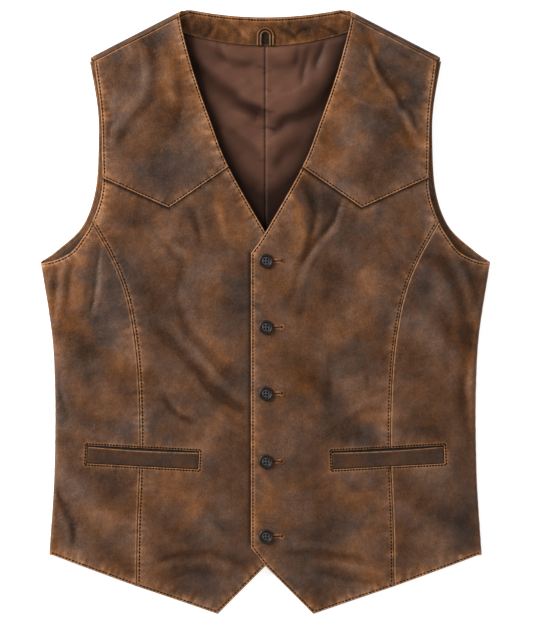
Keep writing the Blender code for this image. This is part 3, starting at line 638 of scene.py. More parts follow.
def nearest_on(points, line, reach=0.030):
    """Each point's distance from a polyline, up to reach, and how far along the line its nearest place is."""
    line = np.asarray(line, float)
    lengths = np.linalg.norm(np.diff(line, axis=0), axis=1)
    travelled = np.concatenate([[0.0], np.cumsum(lengths)])
    best = np.full(len(points), reach)
    where = np.zeros(len(points))
    for first in range(0, len(line) - 1, 12):
        last = min(first + 12, len(line) - 1)
        part = line[first : last + 1]
        low, high = part.min(axis=0) - reach, part.max(axis=0) + reach
        close = np.nonzero(((points > low) & (points < high)).all(axis=1))[0]
        if len(close) == 0:
            continue
        gap, place = best[close], where[close]
        for k in range(first, last):
            if lengths[k] < 1e-9:
                continue
            run_x, run_y = (line[k + 1] - line[k]) / lengths[k]
            dx, dy = (points[close] - line[k]).T
            share = np.clip(dx * run_x + dy * run_y, 0.0, lengths[k])
            distance = np.hypot(dx - share * run_x, dy - share * run_y)
            closer = distance < gap
            gap = np.where(closer, distance, gap)
            place = np.where(closer, travelled[k] + share, place)
        best[close], where[close] = gap, place
    return best, where


def closed(outline):
    return np.vstack([outline, outline[:1]])


def grid_points(outline, step, clear):
    """Staggered rows of points inside the outline, kept clear of it."""
    low, high = outline.min(axis=0), outline.max(axis=0)
    row_step = step * math.sqrt(3) / 2
    rows = []
    for index, y in enumerate(np.arange(low[1] + row_step / 2, high[1], row_step)):
        xs = np.arange(low[0] + step / 2 * (index % 2), high[0], step)
        rows.append(np.column_stack([xs, np.full(len(xs), y)]))
    points = np.vstack(rows)
    points = points[inside(points, outline)]
    return points[nearest_on(points, closed(outline))[0] > clear]


def edge_rows(outline, rows):
    """Rows of points along the inside of an outline, at the distances in rows."""
    run = np.roll(outline, -1, axis=0) - np.roll(outline, 1, axis=0)
    run /= np.maximum(np.linalg.norm(run, axis=1), 1e-9)[:, None]
    inward = np.column_stack([-run[:, 1], run[:, 0]])
    found = []
    for distance in rows:
        row = outline + inward * distance
        row = row[inside(row, outline)]
        found.append(row[nearest_on(row, closed(outline))[0] > 0.85 * distance])
    return np.vstack(found)


def triangles_within(outline, points):
    """Delaunay triangles that fill the outline, using the points inside it."""
    count = len(outline)
    places = [Vector(p) for p in np.vstack([outline, points])]
    edges = [(i, (i + 1) % count) for i in range(count)]
    found = delaunay_2d_cdt(places, edges, [], 0, 1e-7, False)
    flat = np.array([tuple(v) for v in found[0]])
    faces = np.array(found[2])
    return flat, faces[inside(flat[faces].mean(axis=1), outline)]


def soft_noise(points, size, seed, waves=14):
    """A smooth random field of about unit height whose bumps are about size metres across."""
    rng = np.random.default_rng(seed)
    angles = rng.uniform(0, 2 * math.pi, waves)
    pace = 2 * math.pi / (size * rng.uniform(1.2, 3.2, waves))
    phases = rng.uniform(0, 2 * math.pi, waves)
    total = np.zeros(len(points))
    for angle, speed, phase in zip(angles, pace, phases):
        run = points[:, 0] * math.cos(angle) * speed + points[:, 1] * math.sin(angle) * speed
        total += np.cos(run + phase)
    return total / math.sqrt(waves / 2)


def from_photo(x, y):
    """The place on the vest that a pixel of the photograph shows."""
    return np.array(((x - PHOTO_ORIGIN[0]) * PHOTO_SCALE, (PHOTO_ORIGIN[1] - y) * PHOTO_SCALE))


def one_fold(points, start, end, half_width, height, spread=0.22):
    """One soft ridge or trough between two points, tapered at both ends."""
    run = end - start
    share = ((points - start) @ run) / (run @ run)
    across = np.linalg.norm(points - start - np.clip(share, 0.0, 1.0)[:, None] * run, axis=1)
    taper = smoothstep((share + spread) / (2 * spread)) * smoothstep((1 + spread - share) / (2 * spread))
    return height * bell(across / half_width) * taper


def photo_folds(points, table):
    """Sum of a table of creases drawn in the photograph's pixels, which wander a little and taper out."""
    bent = points + 0.0009 * np.column_stack([soft_noise(points, 0.020, 5), soft_noise(points, 0.020, 6)])
    total = np.zeros(len(points))
    for number, (half_width, height, raised_side, pixels) in enumerate(table):
        spots = np.array([from_photo(x, y) for x, y in pixels])
        line = resample(curve_through(spots, 8), 0.003)
        width = half_width / 1000
        distance, along = nearest_on(bent, line, 2.6 * width)
        length = np.linalg.norm(np.diff(line, axis=0), axis=1).sum()
        run = min(0.4 * length, 0.022)
        taper = smoothstep((along + 0.2 * run) / run) * smoothstep((length - along + 0.2 * run) / run)
        taper *= 0.82 + 0.18 * np.cos(along / 0.017 + number)
        total += height / 1000 * bell(distance / width) * taper
        if raised_side:
            shoulder = moved_sideways(line, raised_side * 1.7 * width)
            distance = nearest_on(bent, shoulder, 3.4 * width)[0]
            total -= 0.42 * height / 1000 * bell(distance / (1.3 * width)) * taper
    return total


# The laying of the cloth, as in the solids

SIDE_CURVE = curve_through(SIDE_SEAM)


def side_x(y):
    """Distance of the side fold's outermost line from the centre."""
    return np.interp(y, SIDE_CURVE[:, 0], SIDE_CURVE[:, 1])


def shoulder_depth(points):
    """Distance of each point of a half beyond the shoulder's fold line."""
    return (points - NECK_POINT) @ SHOULDER_OUT


def lay_back(points, inset):
    """Places points of the back's flat pattern: rolled up at the sides and over at the shoulders."""
    half = np.column_stack([np.abs(points[:, 0]), points[:, 1]])
    sign = np.where(points[:, 0] < 0, -1.0, 1.0)
    radius = FOLD_RADIUS - inset
    x, y = half[:, 0].copy(), half[:, 1].copy()
    z = np.zeros(len(points)) + inset

    start = side_x(y) - FOLD_RADIUS
    rolled = (x > start) & (y < 0.15)
    turn = (x - start) / FOLD_RADIUS
    x = np.where(rolled, start + radius * np.sin(turn), x)
    z = np.where(rolled, FOLD_RADIUS - radius * np.cos(turn), z)

    beyond = shoulder_depth(half) + FOLD_RADIUS
    over = (beyond > 0) & (y > 0.2)
    turn = np.clip(beyond / FOLD_RADIUS, 0.0, math.pi)
    rest = np.clip(beyond - HALF_TURN, 0.0, None)
    out = radius * np.sin(turn) - rest - beyond
    x = np.where(over, x + out * SHOULDER_OUT[0], x)
    y = np.where(over, y + out * SHOULDER_OUT[1], y)
    z = np.where(over, FOLD_RADIUS - radius * np.cos(turn), z)
    return np.column_stack([x * sign, y, z])


def folds_height(points, table):
    """Sum of the soft ridges and troughs of a table of x0, y0, x1, y1, half_width, height."""
    total = np.zeros(len(points))
    for x0, y0, x1, y1, half_width, height in table:
        start, run = np.array((x0, y0)), np.array((x1 - x0, y1 - y0))
        share = ((points - start) @ run) / (run @ run)
        nearest = start + np.clip(share, 0.0, 1.0)[:, None] * run
        across = np.linalg.norm(points - nearest, axis=1) / half_width
        taper = smoothstep((share + 0.15) / 0.45) * smoothstep((1.15 - share) / 0.45)
        total += height * bell(across) * taper
    return total


def front_top(half, side):
    """Height of the fronts' outer skin over points of one half, x measured from the centre front."""
    x, y = half[:, 0], half[:, 1]
    from_side = np.maximum(side_x(y) - FOLD_RADIUS - x, 0.0)
    from_shoulder = np.maximum(-shoulder_depth(half) - SHOULDER_SEAM_DROP, 0.0)
    swell = (1 - np.exp(-from_side / PUFF_RUN)) * (1 - np.exp(-from_shoulder / PUFF_RUN))
    folds = [row[1:] for row in FRONT_FOLDS if row[0] == side]
    height = FOLD_TOP + swell * (PUFF + folds_height(half, folds))
    drop = smoothstep((DROOP_FROM_Y - y) / (DROOP_FROM_Y - DROOP_TO_Y))
    drop = drop * smoothstep(from_side / DROOP_SIDE_RUN)
    height = height - drop * (height - TIP_TOP)
    if side > 0:
        span = OVERLAP_RISE_TO - OVERLAP_RISE_FROM
        height = height + OVERLAP_RISE * (1 - smoothstep((x - OVERLAP_RISE_FROM) / span))
    return height


def lay_front(side, under=0.0):
    """A function that places points of one half of the fronts, rolled down at the side."""

    def lay(points, sink):
        depth = under + sink
        half = points * (side, 1.0)
        start = side_x(half[:, 1]) - FOLD_RADIUS
        turn = np.clip((half[:, 0] - start) / FOLD_RADIUS, 0.0, None)
        flat = np.column_stack([np.minimum(half[:, 0], start), half[:, 1]])
        radius = FOLD_RADIUS - depth
        x = np.where(turn > 0, start + radius * np.sin(turn), half[:, 0])
        z = front_top(flat, side) - FOLD_RADIUS + radius * np.cos(turn)
        return np.column_stack([x * side, half[:, 1], z])

    return lay


# The cut, as in the solids but finer, with each edge named for its finish


def neck_edge():
    return resample(curve_through(NECKLINE), EDGE_STEP)


def front_lower_edge():
    """Overlap, cutaway and hem of one front, down to the princess seam."""
    return resample_spans(FRONT_CORNERS, EDGE_STEP)


def window_corners(grow=0.0):
    """Corners of the pocket window: outer top, outer foot, inner foot, inner top."""
    along = np.array((math.cos(POCKET_TILT), math.sin(POCKET_TILT)))
    up = np.array((-math.sin(POCKET_TILT), math.cos(POCKET_TILT)))
    half = along * (POCKET_SIZE[0] / 2 + grow)
    rise = up * (POCKET_SIZE[1] / 2 + grow)
    centre = np.array(POCKET_CENTRE)
    return centre + half + rise, centre + half - rise, centre - half - rise, centre - half + rise


def princess_seam():
    """The princess seam's points below and above the pocket window, from the hem up."""
    curve = curve_through(PRINCESS_SEAM)
    outer_top, outer_foot, inner_foot, inner_top = window_corners()
    ends = []
    for a, b in ((inner_top, outer_top), (inner_foot, outer_foot)):
        edge_y = a[1] + (curve[:, 0] - a[0]) / (b[0] - a[0]) * (b[1] - a[1])
        nearest = np.argmin(np.abs(edge_y - curve[:, 1]))
        ends.append(edge_y[nearest])
    top, foot = ends
    below = resample(cut_of(curve, curve[-1][1], foot), EDGE_STEP)
    return below, resample(cut_of(curve, top, curve[0][1]), EDGE_STEP)


def yoke_seam():
    return resample_spans(YOKE_SEAM, EDGE_STEP)


def seam_line_point(along, drop):
    """A point near a shoulder: distance along the fold from the neck, and distance down the front."""
    return NECK_POINT + SHOULDER_ALONG * along - SHOULDER_OUT * drop


def front_cut():
    """Outline of the centre front and its edges by finish."""
    below, above = (moved_sideways(part, SEWN_GAP / 2) for part in princess_seam())
    inner_foot, inner_top = window_corners()[2:]
    yoke = moved_sideways(yoke_seam(), SEWN_GAP / 2)
    armhole = cut_of(curve_through(FRONT_ARMHOLE), above[-1][1], yoke[0][1])
    armhole = resample(np.vstack([above[-1:], armhole[1:-1], yoke[:1]]), EDGE_STEP)
    neck = neck_edge()
    neck = neck[neck[:, 1] < yoke[-1][1] - EDGE_STEP / 3]
    free = np.vstack([neck, front_lower_edge()[1:]])
    window = resample_spans([below[-1], inner_foot, inner_top, above[0]], EDGE_STEP)
    outline = joined(below, window, above, armhole, yoke, free)
    edges = {"free": [free, armhole], "seam_under": [below, above], "lap_under": [yoke], "window": [window]}
    return outline, edges


def side_cut():
    """Outline of the side front and its edges by finish."""
    below, above = (moved_sideways(part, -SEWN_GAP / 2) for part in princess_seam())
    outer_top, outer_foot = window_corners()[:2]
    armhole = curve_through(FRONT_ARMHOLE)
    corner_y, pit_y = HEM_CORNER[1], armhole[-1][1]
    levels = np.linspace(corner_y, pit_y, 220)
    side = np.column_stack([side_x(levels) + QUARTER_TURN - FOLD_RADIUS - SEAM_GAP, levels])
    corner = np.array((side_x(corner_y) - FOLD_RADIUS, corner_y))
    armhole = armhole[(armhole[:, 0] < side_x(pit_y) - FOLD_RADIUS) & (armhole[:, 1] < above[-1][1])]
    armhole = np.vstack([side[-1:], armhole[::-1], above[-1:]])
    armhole = resample(armhole, EDGE_STEP)
    hem = np.vstack([resample([below[0], corner], EDGE_STEP), resample([corner, side[0]], FOLD_STEP)[1:]])
    window = resample_spans([above[0], outer_top, outer_foot, below[-1]], EDGE_STEP)
    outline = joined(hem, side, armhole, above[::-1], window, below[::-1])
    edges = {"free": [hem, armhole], "seam_over": [below, above], "fold": [side], "window": [window]}
    return outline, edges


def yoke_cut():
    """Outline of the front yoke and its edges by finish."""
    drop = SHOULDER_SEAM_DROP + SEAM_GAP
    neck_end = seam_line_point(NECK_END_SLIDE, drop)
    arm_end = seam_line_point(SHOULDER_LENGTH + ARM_END_SLIDE, drop)
    yoke = moved_sideways(yoke_seam(), -SEWN_GAP / 2)
    armhole = cut_of(curve_through(FRONT_ARMHOLE), yoke[0][1], arm_end[1])
    armhole = resample(np.vstack([yoke[:1], armhole[1:-1], arm_end[None]]), EDGE_STEP)
    neck = neck_edge()
    neck = neck[(neck[:, 1] > yoke[-1][1] + EDGE_STEP / 3) & (neck[:, 1] < neck_end[1] - EDGE_STEP / 3)]
    shoulder = resample([arm_end, neck_end], EDGE_STEP)
    outline = joined(shoulder, neck, yoke[::-1], armhole)
    edges = {"free": [neck, armhole], "lap_over": [yoke], "seam_over": [shoulder]}
    return outline, edges


def back_neck(x, inset=0.0):
    """The curve of the back's neck edge over the given distances from the centre."""
    return np.column_stack([x, BACK_NECK_Y + BACK_NECK_BEND * x**2 - inset])


def back_half():
    """One half of the back's pattern from the centre of the hem to the centre of the neck, and its edges."""
    hem_x = np.linspace(0.0, HEM_CORNER[0] - FOLD_RADIUS, 150)
    hem = np.column_stack([hem_x, BACK_HEM_Y - BACK_HEM_DIP * (hem_x / HEM_CORNER[0]) ** 2])
    pit = np.array(BACK_ARMHOLE[-1])
    levels = np.linspace(hem[-1][1], pit[1], 200)
    side = np.column_stack([side_x(levels) + QUARTER_TURN - FOLD_RADIUS, levels])
    armhole = curve_through(BACK_ARMHOLE)[::-1]
    armhole = armhole[armhole[:, 0] < side_x(pit[1]) - FOLD_RADIUS]
    past_fold = HALF_TURN - 2 * FOLD_RADIUS + SHOULDER_SEAM_DROP
    arm_end = seam_line_point(SHOULDER_LENGTH + ARM_END_SLIDE, -past_fold)
    neck_end = seam_line_point(NECK_END_SLIDE, -past_fold)
    tip = SHOULDER_TIP - SHOULDER_OUT * FOLD_RADIUS
    armhole = np.vstack([side[-1:], armhole[:-1], tip[None], arm_end[None]])
    armhole = resample(armhole, EDGE_STEP)
    neck = back_neck(np.linspace(BACK_NECK_HALF, 0.0, 60))
    neck = np.vstack([resample([neck_end, NECK_POINT], FOLD_STEP), [NECK_CORNER], neck])
    shoulder = resample([arm_end, neck_end], EDGE_STEP)
    hem_turn = resample([hem[-1], side[0]], FOLD_STEP)
    outline = joined(hem, hem_turn, side, armhole, shoulder, neck)
    return outline, {"free": [hem, neck], "plain": [armhole], "fold": [side], "shoulder": [shoulder]}


# Relief of the leather's shown skin


def turned_edge(distance, stitch_in):
    """Height of a turned and topstitched edge by the distance from it."""
    radius = 0.0010
    shy = np.clip(radius - distance, 0.0, radius)
    height = np.sqrt(np.maximum(radius**2 - shy**2, 0.0)) - radius
    height += 0.00022 * bell((distance - 0.0012) / 0.0006)
    height -= 0.00038 * bell((distance - stitch_in) / 0.00065)
    return height + 0.00012 * bell((distance - stitch_in - 0.0014) / 0.0008)


# What each kind of edge changes by the distance from it: heights in metres, rims and dark lines as shares;
# the dark lines are seams, and painted shade along turned edges, folds and under laps
TURNED_FINISH = (
    # part, strength, distance, half_width
    ("rim", 1.00, 0.0010, 0.0007),
    ("rim", 0.45, 0.0037, 0.0009),
    # dark at the very edge, painted shade on the edge's rounded side, and dark along the stitch line
    ("groove", 0.75, 0.0, 0.0004),
    ("groove", 0.30, EDGE_STITCH_IN, 0.0006),
)

FOLD_FINISH = (
    # part, strength, distance, half_width
    ("height", -0.00030, 0.0, 0.0010),
    ("rim", 0.35, 0.0010, 0.0010),
    # dark along the fold's outer line: painted shade where the leather turns away
    ("groove", 0.80, 0.0, 0.0007),
)

EDGE_FINISHES = {
    # kind: rows of part, strength, distance, half_width
    "free": TURNED_FINISH,
    "plain": TURNED_FINISH,
    "fold": FOLD_FINISH,
    "shoulder": FOLD_FINISH,
    "lap_over": (
        ("height", 0.00050, 0.0008, 0.0008),
        ("height", -0.00030, YOKE_STITCH_IN, 0.0005),
        ("rim", 1.00, 0.0008, 0.0007),
        ("groove", 0.30, YOKE_STITCH_IN, 0.0006),
    ),
    "lap_under": (
        ("height", -0.00070, 0.0, 0.0017),
        # dark beyond the yoke's edge: painted shadow of the lap on the front below
        ("groove beyond", 1.00, 0.0008, 0.0024),
    ),
    "seam_over": (
        ("height", 0.00034, 0.0011, 0.0007),
        ("rim", 0.68, 0.0009, 0.0007),
    ),
    "seam_under": (
        ("height", -0.00065, 0.0, 0.0009),
        ("height", 0.00016, 0.0017, 0.0007),
        ("height", -0.00034, PRINCESS_STITCH_IN, 0.0006),
        ("rim", 0.60, 0.0014, 0.0005),
        ("rim", 0.45, 0.0041, 0.0008),
        ("groove", 1.00, 0.0, 0.0008),
        ("groove", 0.30, PRINCESS_STITCH_IN, 0.0006),
    ),
    "window": (
        ("rim", 1.00, 0.0, 0.0007),
        ("rim", 0.42, 0.0027, 0.0006),
        ("groove", 0.35, POCKET_STITCH_OUT, 0.0005),
    ),
}

EDGE_HABITS = {
    # kind: wear, pucker, share of a turned edge, its stitches' distance, reach of a rounded lip
    "free": (1.00, 0.00022, 1.0, EDGE_STITCH_IN, 0.0),
    "plain": (0.15, 0.00022, 1.0, EDGE_STITCH_IN, 0.0),
    "fold": (0.35, 0.00008, 0.0, 0.0, 0.0),
    "shoulder": (0.00, 0.00008, 0.0, 0.0, 0.0),
    "lap_over": (0.50, 0.00012, 0.0, 0.0, 0.0006),
    "lap_under": (0.35, 0.00008, 0.0, 0.0, 0.0),
    "seam_over": (0.35, 0.00012, 0.0, 0.0, 0.0007),
    "seam_under": (0.70, 0.00030, 0.0, 0.0, 0.0),
    "window": (0.35, 0.00012, 0.6, POCKET_STITCH_OUT, 0.0),
}
LIP_DEPTH = 0.0006
PUCKER_SIZE = 0.0042
PUCKER_REACH = 0.0060
WEAR_REACH = 0.0105


def edge_relief(points, edges, seed):
    """Height near the edges, with the rim, the dark seam lines and painted edge shade, and the wear that the
    material shows there.
    """
    height = np.zeros(len(points))
    shares = {part: np.zeros(len(points)) for part in ("rim", "groove", "wear")}
    for kind, lines in edges.items():
        wear, pucker, turned_share, stitch_in, lip_reach = EDGE_HABITS[kind]
        for line in lines:
            distance, along = nearest_on(points, line)
            drag = soft_noise(np.column_stack([along, distance * 0.35]), PUCKER_SIZE, seed + 1)
            height += pucker * drag * np.exp(-distance / PUCKER_REACH)
            if turned_share:
                height += turned_share * turned_edge(distance, stitch_in)
            if lip_reach:
                height -= LIP_DEPTH * (1 - smoothstep(distance / lip_reach))
            for part, strength, middle, half_width in EDGE_FINISHES[kind]:
                away = distance - middle
                if part.endswith("beyond"):
                    away = np.maximum(away, 0.0)
                mark = strength * bell(away / half_width)
                if part == "height":
                    height += mark
                else:
                    name = part.split()[0]
                    shares[name] = np.maximum(shares[name], mark)
            streak = 0.80 + 0.40 * np.clip(drag, -1.3, 1.3)
            shares["wear"] = np.maximum(shares["wear"], wear * streak * bell(distance / WEAR_REACH))
    return height, shares["rim"], shares["groove"], shares["wear"]


def patch_tone(points, table):
    """Tone of the waxed leather: the patches of a table, their borders wandering."""
    bent = points + 0.0060 * np.column_stack([soft_noise(points, 0.026, 31), soft_noise(points, 0.026, 32)])
    bent += 0.0012 * np.column_stack([soft_noise(points, 0.008, 33), soft_noise(points, 0.008, 34)])
    total = np.zeros(len(points))
    for x, y, reach_x, reach_y, tone in table:
        away = (bent - from_photo(x, y)) / (np.array((reach_x, reach_y)) * PHOTO_SCALE)
        total += tone * np.exp(-(away**2).sum(axis=1) * 0.7)
    return total


# Building of pieces


def add_mesh(name, places, faces, material, marks=None):
    """A smooth mesh object with its marks stored for its material."""
    mesh = bpy.data.meshes.new(name)
    mesh.from_pydata(np.asarray(places, float).tolist(), [], faces)
    mesh.update()
    for label, values in (marks or {}).items():
        layer = mesh.attributes.new(label, "FLOAT", "POINT")
        layer.data.foreach_set("value", np.asarray(values, np.float32))
    mesh.materials.append(material)
    mesh.shade_smooth()
    piece = bpy.data.objects.new(name, mesh)
    bpy.context.scene.collection.objects.link(piece)
    return piece


def polygon_area(outline):
    x, y = outline[:, 0], outline[:, 1]
    return abs(np.dot(x, np.roll(y, -1)) - np.dot(y, np.roll(x, -1))) / 2


def cloth(
    name, node, outline, points, lay, wall, relief, material, down=False
):
    """A cut piece as a thin shell, laid in place, which replaces its solid.

    relief(flat) gives the height of the shown skin, the height of the whole wall and the marks.
    """
    flat, faces = triangles_within(outline, points)
    if down:
        faces = faces[:, ::-1]
    count = len(flat)
    skin, body, marks = relief(flat)
    places = np.vstack([lay(flat, -(skin + body)), lay(flat, wall - body)])
    a, b = faces.ravel(), np.roll(faces, -1, axis=1).ravel()
    border = ~np.isin(a * count + b, b * count + a)
    rim = np.column_stack([b, a, a + count, b + count])[border]
    all_faces = np.vstack([faces, faces[:, ::-1] + count]).tolist() + rim.tolist()
    doubled = {label: np.concatenate([values, values]) for label, values in marks.items()}
    piece = add_mesh(name, places, all_faces, material, doubled)
    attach(piece, "root")
    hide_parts(node)
    float(polygon_area(outline))
    return piece


def marks_of(flat, tone=0.0, rim=None, groove=None, wear=None, shade=0.0):
    nothing = np.zeros(len(flat))
    return {
        "tone": nothing + tone,
        "shade": nothing + shade,
        "rim": nothing if rim is None else rim,
        "groove": nothing if groove is None else groove,
        "wear": nothing if wear is None else wear,
    }


def front_body(flat, side):
    """Height of one front's whole wall over its solid's: the photograph's creases and a soft unevenness."""
    half = flat * (side, 1.0)
    body = CREASE_GAIN * photo_folds(flat, CREASES)
    body += 0.00034 * soft_noise(flat, 0.034, 11) + 0.00013 * soft_noise(flat, 0.012, 12)
    body += 0.00005 * soft_noise(flat, 0.0055, 13)
    body *= smoothstep((side_x(half[:, 1]) - half[:, 0]) / 0.008)
    body *= 1 - 0.75 * bell(half[:, 0] / 0.022)
    return np.maximum(body, LEATHER + 0.0001 - front_top(half, side))


def front_relief(side, edges, seed):
    """Relief and marks of one front piece."""

    def relief(flat):
        skin, rim, groove, wear = edge_relief(flat * (side, 1.0), edges, seed)
        body = front_body(flat, side)
        # painted shading from the creases: darker in their valleys, lighter on their ridges
        shade = np.clip(body / 0.0010, -1.2, 0.8)
        # painted shadow beside the left front's overlap, on the right front below it
        if side < 0:
            beside = PLACKET_TOP[0] - flat[:, 0]
            covered = smoothstep((PLACKET_TOP[1] + 0.004 - flat[:, 1]) / 0.004)
            covered *= smoothstep((flat[:, 1] - PLACKET_FOOT[1] - 0.001) / 0.004)
            groove = np.maximum(groove, 0.95 * covered * np.where(beside > 0, bell(beside / 0.0036), 1.0))
        return skin, body, marks_of(flat, patch_tone(flat, PATCHES), rim, groove, wear, shade)

    return relief


def front_points(outline):
    """Points of a front piece: rows along its edges and an even grid between."""
    rows = edge_rows(outline, EDGE_ROWS)
    grid = grid_points(outline, FINE_STEP, EDGE_ROWS[-1] + 0.55 * FINE_STEP)
    return np.vstack([rows, grid])


def both_sides(outline, points):
    """A half's cut for the wearer's left and right: side, word, outline and the points inside it."""
    return (1, "left", outline, points), (-1, "right", mirrored(outline), points * (-1.0, 1.0))


def add_fronts(leather):
    cuts = {"yoke": yoke_cut(), "front": front_cut(), "side": side_cut()}
    for kind, (outline, edges) in cuts.items():
        points = front_points(outline)
        for side, word, cut, inner in both_sides(outline, points):
            relief = front_relief(side, edges, 40 + side)
            cloth(
                f"{kind}_{word}_leather", f"{kind}_{word}", cut, inner,
                lay_front(side), LEATHER, relief, leather,
            )


def add_back(leather):
    half, edges = back_half()
    outline = joined(half, mirrored(half))
    whole = {kind: [*lines, *(mirrored(line) for line in lines)] for kind, lines in edges.items()}
    rows = edge_rows(outline, (0.0006, 0.0013, 0.0022, 0.0032))
    grid = grid_points(outline, BACK_STEP, 0.0032 + 0.5 * BACK_STEP)
    half_grid = np.abs(grid * (1.0, 0.0)) + grid * (0.0, 1.0)
    flat_part = (half_grid[:, 0] < side_x(half_grid[:, 1]) - FOLD_RADIUS - 0.003) | (half_grid[:, 1] > 0.1)
    flat_part &= shoulder_depth(half_grid) < -FOLD_RADIUS - 0.003
    bends = []
    levels = np.linspace(HEM_CORNER[1] + 0.004, 0.052, 130)
    for k in range(9):
        bends.append(np.column_stack([side_x(levels) - FOLD_RADIUS + k * FOLD_STEP, levels]))
    along = np.arange(0.004, SHOULDER_LENGTH, 0.0024)
    for k in range(19):
        out = -FOLD_RADIUS + k * FOLD_STEP
        bends.append(NECK_POINT + SHOULDER_ALONG * along[:, None] + SHOULDER_OUT * out)
    bends = np.vstack(bends)
    bends = np.vstack([bends, bends * (-1.0, 1.0)])
    bends = bends[inside(bends, outline)]
    bends = bends[nearest_on(bends, closed(outline))[0] > 0.0036]
    points = np.vstack([rows, grid[flat_part], bends])

    def relief(flat):
        skin, rim, groove, wear = edge_relief(flat, whole, 60)
        body = np.zeros(len(flat))
        for x0, y0, x1, y1, half_width, depth in BACK_CREASES:
            ends = np.array((x0, y0)) / 1000, np.array((x1, y1)) / 1000
            body -= one_fold(flat, *ends, half_width / 1000, depth / 1000)
        body -= 0.00012 * (1 + np.clip(soft_noise(flat, 0.035, 21), -1, 1))
        half_flat = np.abs(flat * (1.0, 0.0)) + flat * (0.0, 1.0)
        body *= smoothstep((side_x(half_flat[:, 1]) - FOLD_RADIUS - half_flat[:, 0]) / 0.01)
        body *= smoothstep((-FOLD_RADIUS - shoulder_depth(half_flat)) / 0.01)
        skin = np.minimum(skin, 0.0)
        tone = 0.75 * soft_noise(flat, 0.040, 71) + 0.35 * soft_noise(flat, 0.016, 72)
        placed = lay_back(flat, 0.0)
        over = placed[:, 2] > FOLD_RADIUS * 0.6
        tone = np.where(over, patch_tone(placed[:, :2], PATCHES), tone * 0.6 - 0.1)
        return skin, body, marks_of(flat, tone, rim, groove, wear)

    cloth(
        "back_leather", "back", outline, points, lay_back, LEATHER, relief, leather,
        down=True,
    )


def facing_hem_y(x):
    """Height up the body of the seam between the neck facing and the lining."""
    return FACING_HEM_Y + FACING_HEM_BEND * x**2


def facing_hem(reach, count=60):
    """The seam between the neck facing and the lining, from the centre back out to one side."""
    x = np.linspace(0.0, reach, count)
    return np.column_stack([x, facing_hem_y(x)])


def add_facing(leather):
    foot = facing_hem(FACING_HALF)
    foot = np.vstack([foot[:0:-1] * (-1.0, 1.0), foot])
    neck = back_neck(np.linspace(BACK_NECK_HALF, 0.0, 60), FACING_INSET)
    end = [
        foot[-1] + (0.0022, 0.0),
        seam_line_point(0.0135, FOLD_RADIUS),
        seam_line_point(0.0130, 0.0050),
        seam_line_point(0.0050, 0.0050),
        seam_line_point(0.0015, 0.0056),
    ]
    right = joined(resample_spans(end[:2], 0.0015), end[2:3], end[3:], neck)
    outline = joined(foot, right, mirrored(right))
    whole_neck = np.vstack([[end[4]], neck, mirrored(neck)[1:], [end[4] * (-1.0, 1.0)]])
    edges = {"free": [whole_neck], "seam_over": [foot]}
    points = np.vstack([edge_rows(outline, EDGE_ROWS[1:]), grid_points(outline, FINE_STEP, 0.0046)])

    def lay(flat, sink):
        return lay_back(flat, LEATHER + LAYER_GAP + FACING - sink)

    def relief(flat):
        skin, rim, groove, wear = edge_relief(flat, edges, 80)
        body = 0.00010 * soft_noise(flat, 0.012, 81) + 0.00005 * soft_noise(flat, 0.006, 82)
        drawn = photo_folds(flat, FACING_CREASES)
        body += 0.00012 * soft_noise(flat * (1.0, 0.35), 0.010, 83) + np.maximum(drawn, 0.0)
        skin = np.where(skin > 0, skin, skin * 0.6)
        rim *= 0.30 + 0.70 * smoothstep((flat[:, 1] - facing_hem_y(flat[:, 0]) - 0.006) / 0.006)
        tone = 0.50 * soft_noise(flat * (1.0, 0.5), 0.013, 84)
        tone += 0.30 * soft_noise(flat * (1.0, 0.6), 0.006, 85)
        # a dark spot inside the hanger loop's eye: painted shadow of the loop
        eye = (flat - (0.0, FACING_HEM_Y + 0.0060)) / (0.0050, 0.0085)
        tone -= 2.6 * np.exp(-(eye**2).sum(axis=1) ** 2)
        # painted shading from the facing's creases: darker in their valleys, lighter on their ridges
        shade = np.clip(drawn / 0.0003, -1.3, 0.8)
        return skin, np.maximum(body, -0.0001), marks_of(flat, tone, rim, groove, wear * 0.5, shade)

    cloth(
        "neck_facing_leather", "neck_facing", outline, points, lay, FACING, relief, leather,
    )


def lining_top(points):
    """Height of the lining's shown face: flat on the back, dragged into soft folds below the neck."""
    ground = LEATHER + LAYER_GAP + LINING
    drags = np.maximum(folds_height(points, LINING_FOLDS), 0.0)
    from_seam = smoothstep(np.abs(points[:, 0]) / 0.006)
    return ground + drags * (0.35 + 0.65 * from_seam)


